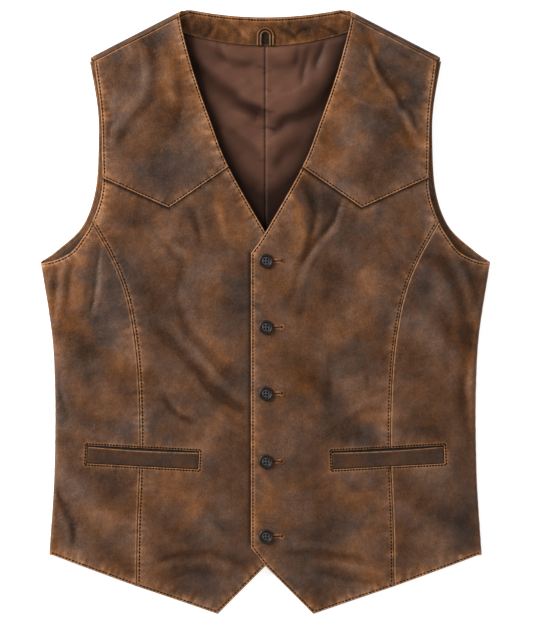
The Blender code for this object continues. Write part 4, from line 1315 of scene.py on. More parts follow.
def add_lining(satin):
    """Two halves of satin sewn together down the centre back."""
    top = moved_sideways(facing_hem(FACING_HALF), -SEAM_GAP)[:-1]
    top[0] = (SEWN_GAP / 2, top[0][1])
    armhole = moved_sideways(curve_through(BACK_ARMHOLE), -LINING_INSET - 0.0035)
    armhole = armhole[(armhole[:, 1] < 0.262) & (armhole[:, 1] > 0.048)]
    side_y = np.linspace(0.034, LINING_HEM_Y, 24)
    side = np.column_stack([side_x(side_y) - LINING_INSET, side_y])
    seam = np.array([(SEWN_GAP / 2, LINING_HEM_Y), (SEWN_GAP / 2, 0.075)])
    outline = joined(
        top,
        resample([top[-1], (0.176, 0.2760)], 0.008)[1:],
        resample(armhole, 0.008),
        side,
        resample(seam, 0.008),
        resample([seam[1], top[0]], 0.0018),
    )[::-1]
    fine = grid_points(outline, LINING_STEP, 0.0016)
    shown = (fine[:, 1] > 0.080) & (fine[:, 0] < 0.018 + (fine[:, 1] - 0.08) * 0.46)
    coarse = grid_points(outline, LINING_HIDDEN_STEP, 0.005)
    hidden = (coarse[:, 1] < 0.072) | (coarse[:, 0] > 0.026 + (coarse[:, 1] - 0.08) * 0.46)
    points = np.vstack([fine[shown], coarse[hidden]])

    def lay(flat, sink):
        return np.column_stack([flat, lining_top(flat) - sink])

    def relief(flat):
        reach = smoothstep((flat[:, 1] - 0.07) / 0.03)
        drawn = LINING_GAIN * photo_folds(flat, LINING_CREASES)
        body = (0.0019 + drawn) * reach
        body += (0.00045 * soft_noise(flat, 0.024, 91) + 0.00014 * soft_noise(flat, 0.010, 92)) * reach
        under_facing = facing_hem_y(flat[:, 0]) - flat[:, 1]
        body *= smoothstep(under_facing / 0.008)
        floor = LEATHER + LAYER_GAP + LINING + 0.00015 - lining_top(flat)
        body = np.maximum(body, floor)
        from_seam, along = np.abs(flat[:, 0]), flat[:, 1]
        skin = -0.00004 * bell(from_seam / 0.0008)
        drag = soft_noise(np.column_stack([along, from_seam * 0.2]), 0.004, 93)
        skin += 0.00012 * np.exp(-from_seam / 0.0035) * drag
        skin -= 0.00040 * bell(under_facing / 0.0012)
        groove = np.maximum(0.44 * bell(from_seam / 0.0006), 0.8 * bell(under_facing / 0.0009))
        # painted shadow of the fronts on the satin: darkest beside the neck edges, and low in the V
        neck = curve_through(NECKLINE)
        from_edge = np.interp(flat[:, 1], neck[::-1, 1], neck[::-1, 0]) - np.abs(flat[:, 0])
        near = 0.0175 + 0.007 * smoothstep((0.20 - flat[:, 1]) / 0.06)
        painted_edge_shadow = np.exp(-((np.maximum(from_edge, 0.0) / near) ** 1.25))
        painted_edge_shadow += 0.85 * smoothstep((0.160 - flat[:, 1]) / 0.055)
        painted_edge_shadow = np.minimum(painted_edge_shadow, 1.0)
        # painted shade in the satin's fold valleys, passed as the shade mark
        return skin, body, marks_of(flat, 0.0, None, groove, painted_edge_shadow, np.clip(-drawn / 0.0015, -0.5, 1.1))

    for _, word, cut, inner in both_sides(outline, points):
        cloth(
            f"lining_{word}_satin", f"lining_{word}", cut, inner, lay, LINING, relief, satin,
        )


# Where the princess seam crosses the pocket: under the welt's bulge, and in the stitched frame
WELT_SEAM_X = 0.1388
FRAME_SPLIT_X = 0.1389


def welt_cut():
    """A welt's outline, its lip and the three sides that are sewn in."""
    outer_top, outer_foot, inner_foot, inner_top = window_corners(-SEAM_GAP)
    share = np.linspace(0.0, 1.0, 80)
    gape = POCKET_MOUTH + POCKET_MOUTH_SAG * np.sin(math.pi * share)
    lip = outer_top + (inner_top - outer_top) * share[:, None] - np.outer(gape, (0.0, 1.0))
    foot = resample([inner_foot, outer_foot], EDGE_STEP)
    outer = resample([foot[-1], lip[0]], EDGE_STEP)
    inner = resample([lip[-1], foot[0]], EDGE_STEP)
    return joined(foot, outer, lip, inner), lip, np.vstack([inner, foot, outer])


def add_pockets(leather, black):
    outline, lip, sewn = welt_cut()
    rows = edge_rows(outline, (0.0004, 0.0009, 0.0015))
    points = np.vstack([rows, grid_points(outline, FINE_STEP, 0.0026)])
    outer_top, outer_foot, inner_foot, inner_top = window_corners(BAG_MARGIN)
    depth = np.array((0.0, BAG_DEPTH - BAG_MARGIN - POCKET_SIZE[1]))
    low_inner, low_outer = inner_foot - depth, outer_foot - depth
    bag = joined(resample_spans([low_inner, low_outer, outer_top, inner_top, low_inner], 0.006))
    bag_points = grid_points(bag, 0.006, 0.0035)
    bag_sink = WELT_SINK + LEATHER + 0.0004

    def welt_relief(side):
        def relief(flat):
            half = flat * (side, 1.0)
            from_lip, along = nearest_on(half, lip)
            from_sewn = nearest_on(half, sewn)[0]
            skin = np.sqrt(np.maximum(0.0008**2 - np.clip(0.0008 - from_lip, 0, 0.0008) ** 2, 0.0)) - 0.0008
            skin += 0.00025 * bell((from_lip - 0.0012) / 0.0008)
            skin -= 0.00045 * bell(from_sewn / 0.0008)
            skin += 0.00006 * soft_noise(np.column_stack([along, from_lip]), 0.010, 55)
            skin -= 0.00022 * bell((half[:, 0] - WELT_SEAM_X) / 0.0012)
            tone = -0.55 + 0.25 * soft_noise(flat, 0.02, 56)
            marks = marks_of(flat, tone, 0.75 * bell((from_lip - 0.0004) / 0.0006), bell(from_sewn / 0.0007))
            return skin, front_body(flat, side), marks

        return relief

    def bag_relief(side):
        def relief(flat):
            return np.zeros(len(flat)), front_body(flat, side), marks_of(flat)

        return relief

    for (side, word, cut, inner), (_, _, bag_cut, bag_inner) in zip(
        both_sides(outline, points), both_sides(bag, bag_points)
    ):
        cloth(
            f"welt_{word}_leather", f"welt_{word}", cut, inner, lay_front(side, WELT_SINK),
            LEATHER, welt_relief(side), leather,
        )
        cloth(
            f"pocket_bag_{word}_cloth", f"pocket_bag_{word}", bag_cut, bag_inner,
            lay_front(side, bag_sink), LINING, bag_relief(side), black,
        )


# Sewing: many small stitches joined in one mesh for each thread


def ring_faces(base, count):
    """Faces between a closed ring of points and the ring that follows it in the list."""
    pairs = [(k, (k + 1) % count) for k in range(count)]
    return [(base + k, base + after, base + count + after, base + count + k) for k, after in pairs]


def capsule(segments=8, rings=5):
    """A unit stitch: long along x, half as high as wide, as points and faces."""
    points = [(-1.0, 0.0, 0.0)]
    for ring in range(1, rings):
        angle = math.pi * ring / rings
        for k in range(segments):
            turn = 2 * math.pi * k / segments
            spread = math.sin(angle) ** 0.7
            points.append((-math.cos(angle), spread * math.cos(turn), spread * math.sin(turn)))
    points.append((1.0, 0.0, 0.0))
    faces = [(0, 1 + (k + 1) % segments, 1 + k) for k in range(segments)]
    for ring in range(rings - 2):
        faces += ring_faces(1 + ring * segments, segments)
    last, base = len(points) - 1, 1 + (rings - 2) * segments
    faces += [(last, base + k, base + (k + 1) % segments) for k in range(segments)]
    return np.array(points), faces


class Sewing:
    """Collects stitches and joins them in one mesh."""

    def __init__(self):
        self.points = []
        self.faces = []
        self.count = 0
        self.shape = capsule()

    def stitch(self, centre, along, up, length, width, height):
        shape, faces = self.shape
        along = along / np.linalg.norm(along)
        across = np.cross(up, along)
        across /= np.linalg.norm(across)
        up = np.cross(along, across)
        size = shape * (length / 2, width / 2, height)
        self.points.append(centre + size[:, :1] * along + size[:, 1:2] * across + size[:, 2:] * up)
        self.faces += [tuple(v + self.count for v in face) for face in faces]
        self.count += len(shape)

    def row(self, line, place, seed, pitch=STITCH_PITCH, length=STITCH_LENGTH):
        """A running row along a flat line; place(points, lift) gives places above the shown skin."""
        rng = np.random.default_rng(seed)
        even = resample(line, pitch)
        middles = (even[:-1] + even[1:]) / 2
        ends = place(even, 0.0)
        centres, raised = place(middles, 0.00012), place(middles, 0.00112)
        for centre, top, start, end in zip(centres, raised, ends[:-1], ends[1:]):
            turn = rng.normal(0.0, 0.05)
            along = end - start
            along = along + turn * np.cross(top - centre, along) * 1000
            size = length * rng.uniform(0.92, 1.06)
            self.stitch(centre, along, top - centre, size, STITCH_WIDTH, STITCH_HEIGHT)

    def build(self, name, material):
        piece = add_mesh(name, np.vstack(self.points), self.faces, material)
        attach(piece, "root")
        return piece


def placer(side, edges, seed):
    """A function that places flat points of a half on the relief of a front piece, with a lift."""
    relief, lay = front_relief(side, edges, seed), lay_front(side)

    def place(half_points, lift):
        flat = half_points * (side, 1.0)
        skin, body, _ = relief(flat)
        return lay(flat, -(skin + body + lift))

    return place


def window_frame(grow):
    """The stitched frame round a pocket window, in two parts: over the centre and the side front."""
    outer_top, outer_foot, inner_foot, inner_top = window_corners(grow)
    share = (FRAME_SPLIT_X - inner_top[0]) / (outer_top[0] - inner_top[0])
    top = inner_top + (outer_top - inner_top) * share
    foot = inner_foot + (outer_foot - inner_foot) * share
    gap = np.array((0.0010, 0.0))
    inner = [[top - gap, inner_top], [inner_top, inner_foot], [inner_foot, foot - gap]]
    outer = [[top + gap, outer_top], [outer_top, outer_foot], [outer_foot, foot + gap]]
    return inner, outer


def direction(start, end):
    """The unit step from one flat point to another."""
    step = end - start
    return step / np.linalg.norm(step)


def add_stitching(thread):
    """The dark rows along the edges, yoke seams, princess seams and pocket frames of both fronts."""
    sewing = Sewing()
    (_, front_edges), (_, side_edges), (_, yoke_edges) = front_cut(), side_cut(), yoke_cut()
    below, above = princess_seam()
    neck = neck_edge()
    split = YOKE_SEAM[-1][1]
    inner_frame, outer_frame = window_frame(POCKET_STITCH_OUT + 0.0002)
    for side in (1, -1):
        front = placer(side, front_edges, 40 + side)
        flank = placer(side, side_edges, 40 + side)
        yoke = placer(side, yoke_edges, 40 + side)
        seed = 500 + side * 100
        neck_row = moved_sideways(neck, EDGE_STITCH_IN)
        sewing.row(neck_row[neck_row[:, 1] > split + 0.0020], yoke, seed + 1)
        below_yoke = neck_row[:, 1] < split - 0.0022
        above_overlap = neck_row[:, 1] > PLACKET_TOP[1] + 0.001
        sewing.row(neck_row[below_yoke & above_overlap], front, seed + 2)
        for index, (a, b) in enumerate(zip(FRONT_CORNERS[:-1], FRONT_CORNERS[1:])):
            edge = np.array([a, b], float)
            run = direction(*edge)
            shift = np.array((-run[1], run[0])) * EDGE_STITCH_IN
            start = edge[0] + shift + run * (0.0005 if index in (0, 2) else 0.0022)
            end = edge[1] + shift - run * (0.0022 if index in (2, 3) else 0.0006)
            sewing.row([start, end], front, seed + 3 + index)
        armhole = curve_through(FRONT_ARMHOLE)
        inside_row = resample(moved_sideways(armhole, -EDGE_STITCH_IN), 0.002)
        height = inside_row[:, 1]
        on_yoke = (height > YOKE_SEAM[0][1] + 0.002) & (height < 0.2740)
        on_front = (height < YOKE_SEAM[0][1] - 0.002) & (height > PRINCESS_SEAM[0][1] + 0.0025)
        on_flank = (height < PRINCESS_SEAM[0][1] - 0.0025) & (inside_row[:, 0] < 0.2425)
        sewing.row(inside_row[on_yoke], yoke, seed + 11)
        sewing.row(inside_row[on_front], front, seed + 12)
        sewing.row(inside_row[on_flank], flank, seed + 13)
        for index, (a, b) in enumerate(zip(YOKE_SEAM[:-1], YOKE_SEAM[1:])):
            line = moved_sideways([a, b], -YOKE_STITCH_IN)
            run = direction(line[0], line[1])
            start = line[0] + run * (0.0035 if index == 0 else 0.0)
            end = line[1] - run * (0.0 if index == 0 else 0.0035)
            sewing.row([start, end], yoke, seed + 14 + index)
        for index, part in enumerate((below, above)):
            line = moved_sideways(part, PRINCESS_STITCH_IN)
            line = line[2:-3] if index else line[3:-2]
            sewing.row(line, front, seed + 17 + index)
        hem_end = (side_x(HEM_CORNER[1]) - FOLD_RADIUS + 0.003, HEM_CORNER[1] + 0.0008)
        hem = np.array([PRINCESS_SEAM[-1], hem_end])
        run = direction(*hem)
        shift = np.array((-run[1], run[0])) * EDGE_STITCH_IN
        sewing.row([hem[0] + shift + run * 0.0025, hem[1] + shift], flank, seed + 20)
        for index, line in enumerate(inner_frame):
            sewing.row(line, front, seed + 21 + index, SHORT_PITCH, SHORT_LENGTH)
        for index, line in enumerate(outer_frame):
            sewing.row(line, flank, seed + 25 + index, SHORT_PITCH, SHORT_LENGTH)
    sewing.build("topstitching", thread)


def add_neck_stitching(thread):
    """The row under the back neck's rolled edge."""
    sewing = Sewing()
    reach = np.linspace(-NECK_STITCH_HALF, NECK_STITCH_HALF, 160)
    line = back_neck(reach, FACING_INSET + NECK_STITCH_IN)
    top = LEATHER + LAYER_GAP + FACING

    def on_facing(points, lift):
        return np.column_stack([points, np.full(len(points), top - 0.00015 + lift)])

    sewing.row(line, on_facing, 900, NECK_PITCH, NECK_LENGTH)
    sewing.build("neck_stitching", thread)


# A buttonhole: its slit beside the button's axis, half its width, its eye and its purl stitches
SLIT_START = 0.0068
SLIT_END = 0.0166
SLIT_HALF = 0.0012
EYE_RADIUS = 0.0022
PURL_PITCH = 0.00078
PURL_SIZE = (0.00220, 0.00082, 0.00052)
OPEN_SHARE = 0.75
UPWARD = np.array((0.0, 0.0, 1.0))
SIDEWAYS = np.array((1.0, 0.0, 0.0))


def add_buttonholes(purl, slit):
    """Keyhole buttonholes: a slit edged with purled thread, with a round eye away from the edge; the opening
    is a black sheet, painted shadow.
    """
    sewing = Sewing()
    lay = lay_front(1)
    faces, places = [], []
    for number, y in enumerate(BUTTON_Y):
        rng = np.random.default_rng(700 + number)
        left, right = BUTTON_X + SLIT_START, BUTTON_X + SLIT_END
        centre = np.array((right + 0.0009, y))
        path = []
        for x in np.arange(left, right, PURL_PITCH):
            path.append(((x, y + SLIT_HALF), (0.0, 1.0)))
        for k in range(13):
            angle = math.radians(148 - k * 24.7)
            aim = (math.cos(angle), math.sin(angle))
            path.append((centre + np.array(aim) * EYE_RADIUS, aim))
        for x in np.arange(right, left, -PURL_PITCH):
            path.append(((x, y - SLIT_HALF), (0.0, -1.0)))
        for spot, aim in path:
            spot = np.array([spot]) + rng.normal(0, 0.00006, 2) + np.array([aim]) * 0.0004
            centre_place = lay(spot, -0.00028)[0]
            aim3 = np.array((aim[0], aim[1], rng.normal(0, 0.08)))
            sewing.stitch(centre_place, aim3, UPWARD, *PURL_SIZE)
        # a black sheet over the slit and the eye, just above the leather: painted shadow of the opening
        half = SLIT_HALF * OPEN_SHARE
        ring = [(left - 0.0004, y + half), (right, y + half)]
        for angle in np.radians(np.arange(130, -131, -20)):
            aim = np.array((math.cos(angle), math.sin(angle)))
            ring.append(tuple(centre + aim * EYE_RADIUS * OPEN_SHARE))
        ring += [(right, y - half), (left - 0.0004, y - half)]
        laid = lay(np.array(ring), -0.00030)
        base = len(places)
        places += [tuple(p) for p in laid]
        faces.append(tuple(range(base, base + len(laid)))[::-1])
    sewing.build("buttonhole_purl", purl)
    piece = add_mesh("buttonhole_slits", places, faces, slit)
    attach(piece, "root")


def turned(name, profile, segments, material):
    """A turned body from a profile of (radius, height) points, from the axis round to the axis."""
    places, faces = [], []
    rows = []
    for radius, height in profile:
        if radius < 1e-7:
            rows.append([len(places)])
            places.append((0.0, 0.0, height))
        else:
            rows.append(list(range(len(places), len(places) + segments)))
            for k in range(segments):
                angle = 2 * math.pi * k / segments
                places.append((radius * math.cos(angle), radius * math.sin(angle), height))
    for upper, lower in zip(rows[:-1], rows[1:]):
        for k in range(segments):
            after = (k + 1) % segments
            a, b = upper[k % len(upper)], upper[after % len(upper)]
            c, d = lower[after % len(lower)], lower[k % len(lower)]
            face = [a, d, c, b]
            face = [v for i, v in enumerate(face) if v not in face[:i]]
            faces.append(tuple(face))
    return add_mesh(name, places, faces, material)


BUTTON_PROFILE = (
    # radius_mm, height_mm
    (0.00, 2.10),
    (2.80, 2.12),
    (4.10, 2.08),
    (4.60, 1.80),
    (4.90, 1.62),
    (5.25, 1.85),
    (5.60, 2.50),
    (6.00, 2.90),
    (6.45, 3.00),
    (6.95, 2.92),
    (7.45, 2.60),
    (7.80, 2.15),
    (7.97, 1.75),
    (7.95, 1.35),
    (7.70, 0.95),
    (7.00, 0.55),
    (6.00, 0.25),
    (4.00, 0.06),
    (0.00, 0.02),
)


def add_buttons(horn, thread):
    """Four-hole buttons with a raised rim, a dished middle and a strand of thread in each hole."""
    profile = [(radius / 1000, height / 1000) for radius, height in BUTTON_PROFILE]
    sewing = Sewing()
    for number, y in enumerate(BUTTON_Y, 1):
        steps = (-BUTTON_RADIUS, 0.0, BUTTON_RADIUS)
        footprint = np.array([(BUTTON_X + dx, y + dy) for dx in steps for dy in steps])
        height = front_top(footprint, 1).max() + LAYER_GAP
        button = turned(f"button_{number}_horn", profile, 64, horn)
        button.location = (BUTTON_X, y, height)
        drill_holes(button)
        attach(button, "root")
        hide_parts(f"button_{number}")
        for dx, dy in ((-1, -1), (-1, 1), (1, -1), (1, 1)):
            hole = np.array((BUTTON_X, y)) + BUTTON_HOLE_OFFSET * np.array((dx, dy))
            centre = np.array((*hole, height + 0.00045))
            sewing.stitch(centre, UPWARD, SIDEWAYS, 0.0011, 0.0019, 0.00095)
        for k in range(6):
            angle = 2 * math.pi * k / 6
            shift_x, shift_y = 0.0012 * math.cos(angle), 0.0012 * math.sin(angle)
            foot = np.array((BUTTON_X + shift_x, y + shift_y, height - 0.0001))
            sewing.stitch(foot, UPWARD, SIDEWAYS, 0.0012, 0.0008, 0.0004)
    sewing.build("button_thread", thread)


DRILL_ENDS = (-0.002, 0.006)


def drill_holes(button, sides=20):
    """Four sewing holes through a button, cut with a hidden drill that is then removed."""
    places, faces = [], []
    for sx in (-1, 1):
        for sy in (-1, 1):
            base = len(places)
            for z in DRILL_ENDS:
                for k in range(sides):
                    angle = 2 * math.pi * k / sides
                    x = sx * BUTTON_HOLE_OFFSET + BUTTON_HOLE_RADIUS * math.cos(angle)
                    places.append((x, sy * BUTTON_HOLE_OFFSET + BUTTON_HOLE_RADIUS * math.sin(angle), z))
            faces.append(tuple(base + k for k in range(sides))[::-1])
            faces.append(tuple(base + sides + k for k in range(sides)))
            faces += ring_faces(base, sides)
    mesh = bpy.data.meshes.new("drill")
    mesh.from_pydata(places, [], faces)
    drill = bpy.data.objects.new("drill", mesh)
    bpy.context.scene.collection.objects.link(drill)
    drill.location = button.location
    cut = button.modifiers.new("holes", "BOOLEAN")
    cut.operation = "DIFFERENCE"
    cut.solver = "EXACT"
    cut.object = drill
    bpy.context.view_layer.update()
    graph = bpy.context.evaluated_depsgraph_get()
    result = bpy.data.meshes.new_from_object(button.evaluated_get(graph))
    button.modifiers.clear()
    button.data = result
    bpy.data.objects.remove(drill, do_unlink=True)


def add_hanger_loop(leather):
    """A folded strap bent into an upright loop, with a raised roll along each edge."""
    outer, inner = LOOP_WIDTH / 2, LOOP_WIDTH / 2 - LOOP_STRAP
    foot = FACING_HEM_Y + 0.0004
    arch = foot + LOOP_HEIGHT - outer
    top = LEATHER + FACING + 2 * LAYER_GAP
    middle = (outer + inner) / 2
    route, aims = [], []
    for y in np.linspace(foot, arch, 10)[:-1]:
        route.append((middle, y))
        aims.append((1.0, 0.0))
    for k in range(33):
        angle = math.pi * k / 32
        route.append((middle * math.cos(angle), arch + middle * math.sin(angle)))
        aims.append((math.cos(angle), math.sin(angle)))
    for y in np.linspace(arch, foot, 10)[1:]:
        route.append((-middle, y))
        aims.append((-1.0, 0.0))
    section = []
    for share in np.linspace(-1.0, 1.0, 25):
        bulge = math.sqrt(max(0.0, 1 - ((abs(share) - 0.55) / 0.46) ** 2))
        roll = 0.00175 * bulge if abs(share) > 0.1 else 0.0003
        section.append((share * LOOP_STRAP / 2, max(roll, 0.00035 if abs(share) < 0.99 else 0.0001)))
    section += [(share * LOOP_STRAP / 2, 0.0) for share in np.linspace(1.0, -1.0, 9)]
    places, faces, rim = [], [], []
    for (x, y), (ax, ay) in zip(route, aims):
        for out, up in section:
            places.append((x + ax * out, y + ay * out, top + up))
            rim.append(math.exp(-(((abs(out) / (LOOP_STRAP / 2)) - 0.55) / 0.28) ** 2) * (up > 0.0005))
    count = len(section)
    for row in range(len(route) - 1):
        faces += ring_faces(row * count, count)
    faces.append(tuple(range(count))[::-1])
    last = (len(route) - 1) * count
    faces.append(tuple(last + k for k in range(count)))
    flat = np.array(places)[:, :2]
    rim = np.array(rim)
    # dark where the strap lies low between and beside its rolls: painted shade
    groove = np.array([1.0 if 0.0 < up < 0.0006 else 0.0 for _ in route for out, up in section])
    marks = marks_of(flat, -0.9, rim * 0.45, groove, rim * 0.1)
    piece = add_mesh("hanger_loop_leather", places, faces, leather, marks)
    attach(piece, "root")
    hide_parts("hanger_loop")


# Materials


class Nodes:
    """A short way to write a material's node tree."""

    def __init__(self, name):
        self.material = bpy.data.materials.new(name)
        self.material.use_nodes = True
        self.tree = self.material.node_tree
        self.shader = self.tree.nodes["Principled BSDF"]

    def add(self, kind, settings=None, **inputs):
        node = self.tree.nodes.new(kind)
        for key, value in (settings or {}).items():
            setattr(node, key, value)
        for key, value in inputs.items():
            self.put(node, key.replace("_", " "), value)
        return node

    def put(self, node, key, value):
        socket = node.inputs[int(key)] if key.isdigit() else node.inputs[key]
        if isinstance(value, bpy.types.NodeSocket):
            self.tree.links.new(value, socket)
        else:
            socket.default_value = value

    def math(self, operation, first, second=0.0, clamp=False):
        node = self.tree.nodes.new("ShaderNodeMath")
        node.operation = operation
        node.use_clamp = clamp
        self.put(node, "0", first)
        self.put(node, "1", second)
        return node.outputs[0]

    def plus(self, total, value, share, clamp=False):
        """The total with a share of a value added."""
        return self.math("ADD", total, self.math("MULTIPLY", value, share), clamp)

    def above(self, field, floor, gain):
        """How far a field lies above a floor, times a gain, kept from 0 to 1."""
        return self.math("MULTIPLY", self.math("SUBTRACT", field, floor), gain, True)

    def noise(self, scale, detail=4.0, roughness=0.55, distortion=0.0):
        sizes = {"Scale": scale, "Detail": detail, "Roughness": roughness, "Distortion": distortion}
        return self.add("ShaderNodeTexNoise", Vector=self.place(), **sizes).outputs["Fac"]

    def twill(self, scale, distortion=0.0):
        slant = {"bands_direction": "DIAGONAL"}
        wave = self.add("ShaderNodeTexWave", slant, Vector=self.place(), Scale=scale, Distortion=distortion)
        return wave.outputs["Fac"]

    def place(self):
        return self.tree.nodes.new("ShaderNodeTexCoord").outputs["Object"]

    def mark(self, name):
        node = self.tree.nodes.new("ShaderNodeAttribute")
        node.attribute_name = name
        return node.outputs["Fac"]

    def ramp(self, factor, stops):
        node = self.tree.nodes.new("ShaderNodeValToRGB")
        while len(node.color_ramp.elements) < len(stops):
            node.color_ramp.elements.new(0.5)
        for element, (position, colour) in zip(node.color_ramp.elements, stops):
            element.position = position
            element.color = (*colour, 1.0)
        self.tree.links.new(factor, node.inputs["Fac"])
        return node.outputs["Color"]

    def mix(self, factor, first, second):
        node = self.tree.nodes.new("ShaderNodeMix")
        node.data_type = "RGBA"
        for index, value in ((0, factor), (6, first), (7, second)):
            if isinstance(value, bpy.types.NodeSocket):
                self.tree.links.new(value, node.inputs[index])
            else:
                node.inputs[index].default_value = value
        return node.outputs[2]

    def bump(self, height, distance, strength=1.0, under=None):
        node = self.tree.nodes.new("ShaderNodeBump")
        node.inputs["Distance"].default_value = distance
        node.inputs["Strength"].default_value = strength
        self.tree.links.new(height, node.inputs["Height"])
        if under is not None:
            self.tree.links.new(under, node.inputs["Normal"])
        return node.outputs["Normal"]

    def finish(self, **sockets):
        for key, value in sockets.items():
            self.put(self.shader, key.replace("_", " "), value)
        return self.material


WAXED_STOPS = (
    # position, colour
    (0.00, (0.016, 0.011, 0.009)),
    (0.25, (0.046, 0.029, 0.022)),
    (0.50, (0.101, 0.061, 0.045)),
    (0.75, (0.192, 0.118, 0.088)),
    (1.00, (0.350, 0.228, 0.170)),
)

RUBBED_STOPS = (
    # position, colour
    (0.00, (0.024, 0.009, 0.003)),
    (0.25, (0.070, 0.025, 0.008)),
    (0.50, (0.154, 0.058, 0.019)),
    (0.75, (0.285, 0.117, 0.046)),
    (1.00, (0.470, 0.228, 0.110)),
)


# Clouds of the leather's tone, from broad patches to the grain
LEATHER_CLOUDS = (
    # scale, share
    (22.0, 0.19),
    (260.0, 0.25),
    (620.0, 0.38),
    (1500.0, 0.52),
)
BLOTCH_SHARE = 0.25
WORN_RIM = (0.580, 0.260, 0.105, 1.0)
DARK_SEAM_AND_SHADE_COLOUR = (0.010, 0.005, 0.003, 1.0)


def crackle(nodes):
    """Fine crossing lines of dry wax, in places only."""
    swirl = nodes.add("ShaderNodeTexNoise", Vector=nodes.place(), Scale=160.0)
    sway = nodes.add("ShaderNodeVectorMath", {"operation": "SCALE"}, Scale=0.012)
    nodes.put(sway, "0", swirl.outputs["Color"])
    bent = nodes.add("ShaderNodeVectorMath", {"operation": "ADD"})
    nodes.put(bent, "0", nodes.place())
    nodes.put(bent, "1", sway.outputs[0])
    cells = nodes.add(
        "ShaderNodeTexVoronoi", {"feature": "DISTANCE_TO_EDGE"}, Vector=bent.outputs[0], Scale=210.0
    )
    line = nodes.math("SUBTRACT", 1.0, nodes.math("MULTIPLY", cells.outputs["Distance"], 9.0, True), True)
    return nodes.math("MULTIPLY", line, nodes.above(nodes.noise(45.0, 3.0), 0.46, 5.0))


def leather_material(name, tone_at_rest=0.462, contrast=1.0, warmth=0.5):
    """Waxed, rubbed brown leather: cloudy tone, pale worn rims, dark seams, painted shade along edges and in
    creases, painted light on crease ridges and a fine pebbled grain.
    """
    nodes = Nodes(name)
    patch, shade = nodes.mark("tone"), nodes.mark("shade")
    blotch = nodes.noise(70.0, 4.0, 0.58, 0.4)
    line = crackle(nodes)
    rubbed = nodes.math("MULTIPLY", nodes.above(nodes.noise(60.0, 4.0, 0.6), 0.22, 2.8), nodes.mark("wear"))

    tone = nodes.plus(tone_at_rest, patch, 0.158 * contrast)
    tone = nodes.plus(tone, nodes.math("ABSOLUTE", patch), 0.022 * contrast)
    tone = nodes.plus(tone, nodes.math("SUBTRACT", blotch, 0.5), BLOTCH_SHARE * contrast)
    for scale, share in LEATHER_CLOUDS:
        cloud = nodes.noise(scale, 4.0, 0.60)
        tone = nodes.plus(tone, nodes.math("SUBTRACT", cloud, 0.5), share * contrast)
    # the shade mark is painted crease shading: darker valleys, lighter ridges; below, it also warms the
    # valleys
    for mark, share in ((shade, 0.210), (rubbed, 0.40), (line, -0.075)):
        tone = nodes.plus(tone, mark, share)

    warm = nodes.math("MULTIPLY", nodes.math("SUBTRACT", nodes.noise(30.0, 4.0, 0.58, 0.5), 0.5), 1.5)
    for mark, share in ((patch, 0.58), (shade, -0.16), (rubbed, 0.35)):
        warm = nodes.plus(warm, mark, share)
    warm = nodes.math("ADD", warm, warmth, True)
    colour = nodes.mix(warm, nodes.ramp(tone, WAXED_STOPS), nodes.ramp(tone, RUBBED_STOPS))
    worn = nodes.plus(0.30, nodes.above(nodes.noise(150.0, 4.0, 0.65), 0.34, 3.4), 0.66)
    colour = nodes.mix(nodes.math("MULTIPLY", nodes.mark("rim"), worn), colour, WORN_RIM)
    # dark seams, and painted shade along edges, under the yoke's lap, beside the overlap and between the
    # loop's rolls
    colour = nodes.mix(nodes.math("MULTIPLY", nodes.mark("groove"), 0.92), colour, DARK_SEAM_AND_SHADE_COLOUR)

    cells = nodes.add(
        "ShaderNodeTexVoronoi", {"feature": "SMOOTH_F1"}, Vector=nodes.place(), Scale=900.0, Smoothness=0.35
    )
    grain = nodes.math("MULTIPLY", cells.outputs["Distance"], 0.5)
    grain = nodes.plus(grain, nodes.noise(360.0, 4.0, 0.6, 1.5), 0.9)
    grain = nodes.plus(grain, line, -0.35)
    normal = nodes.bump(nodes.noise(90.0, 4.0, 0.55, 0.8), 0.0022, 0.26)
    normal = nodes.bump(grain, 0.00055, 0.60, normal)
    rough = nodes.plus(0.26, blotch, 0.24)
    return nodes.finish(
        Base_Color=colour, Roughness=rough, Normal=normal,
        Specular_IOR_Level=0.26, Specular_Tint=(0.95, 0.66, 0.50, 1.0),
    )


def satin_material():
    """Brown lining satin: a fine twill, a soft sheen, dark seams, painted shadow of the fronts near their
    edges and painted shade in its folds.
    """
    nodes = Nodes("lining_satin_look")
    cloud = nodes.noise(26.0, 3.0, 0.5)
    colour = nodes.ramp(cloud, ((0.30, (0.106, 0.045, 0.028)), (0.72, (0.166, 0.074, 0.047))))
    for mark, share, dark in (
        ("groove", 0.60, (0.018, 0.008, 0.006, 1.0)),
        # painted shadow of the fronts, carried by the wear mark on the satin
        ("wear", 0.93, (0.010, 0.004, 0.003, 1.0)),
        # painted shade in the folds
        ("shade", 0.80, (0.014, 0.005, 0.003, 1.0)),
    ):
        colour = nodes.mix(nodes.math("MULTIPLY", nodes.mark(mark), share, True), colour, dark)
    weave = nodes.twill(900.0, 1.5)
    normal = nodes.bump(weave, 0.00008, 0.5)
    rough = nodes.plus(0.38, nodes.noise(60.0), 0.12)
    rough = nodes.plus(rough, nodes.mark("groove"), 0.6, True)
    return nodes.finish(
        Base_Color=colour, Roughness=rough, Normal=normal, Sheen_Weight=0.04, Sheen_Roughness=0.4,
        Specular_IOR_Level=0.22, Specular_Tint=(0.95, 0.68, 0.56, 1.0),
    )


def thread_material(name, dark, light, rough=0.55):
    """Twisted thread: fine slanting strands and uneven colour."""
    nodes = Nodes(name)
    strand = nodes.twill(700.0)
    colour = nodes.ramp(nodes.noise(180.0, 3.0), ((0.35, dark), (0.70, light)))
    normal = nodes.bump(strand, 0.00015, 0.6)
    return nodes.finish(Base_Color=colour, Roughness=rough, Normal=normal, Specular_IOR_Level=0.15)


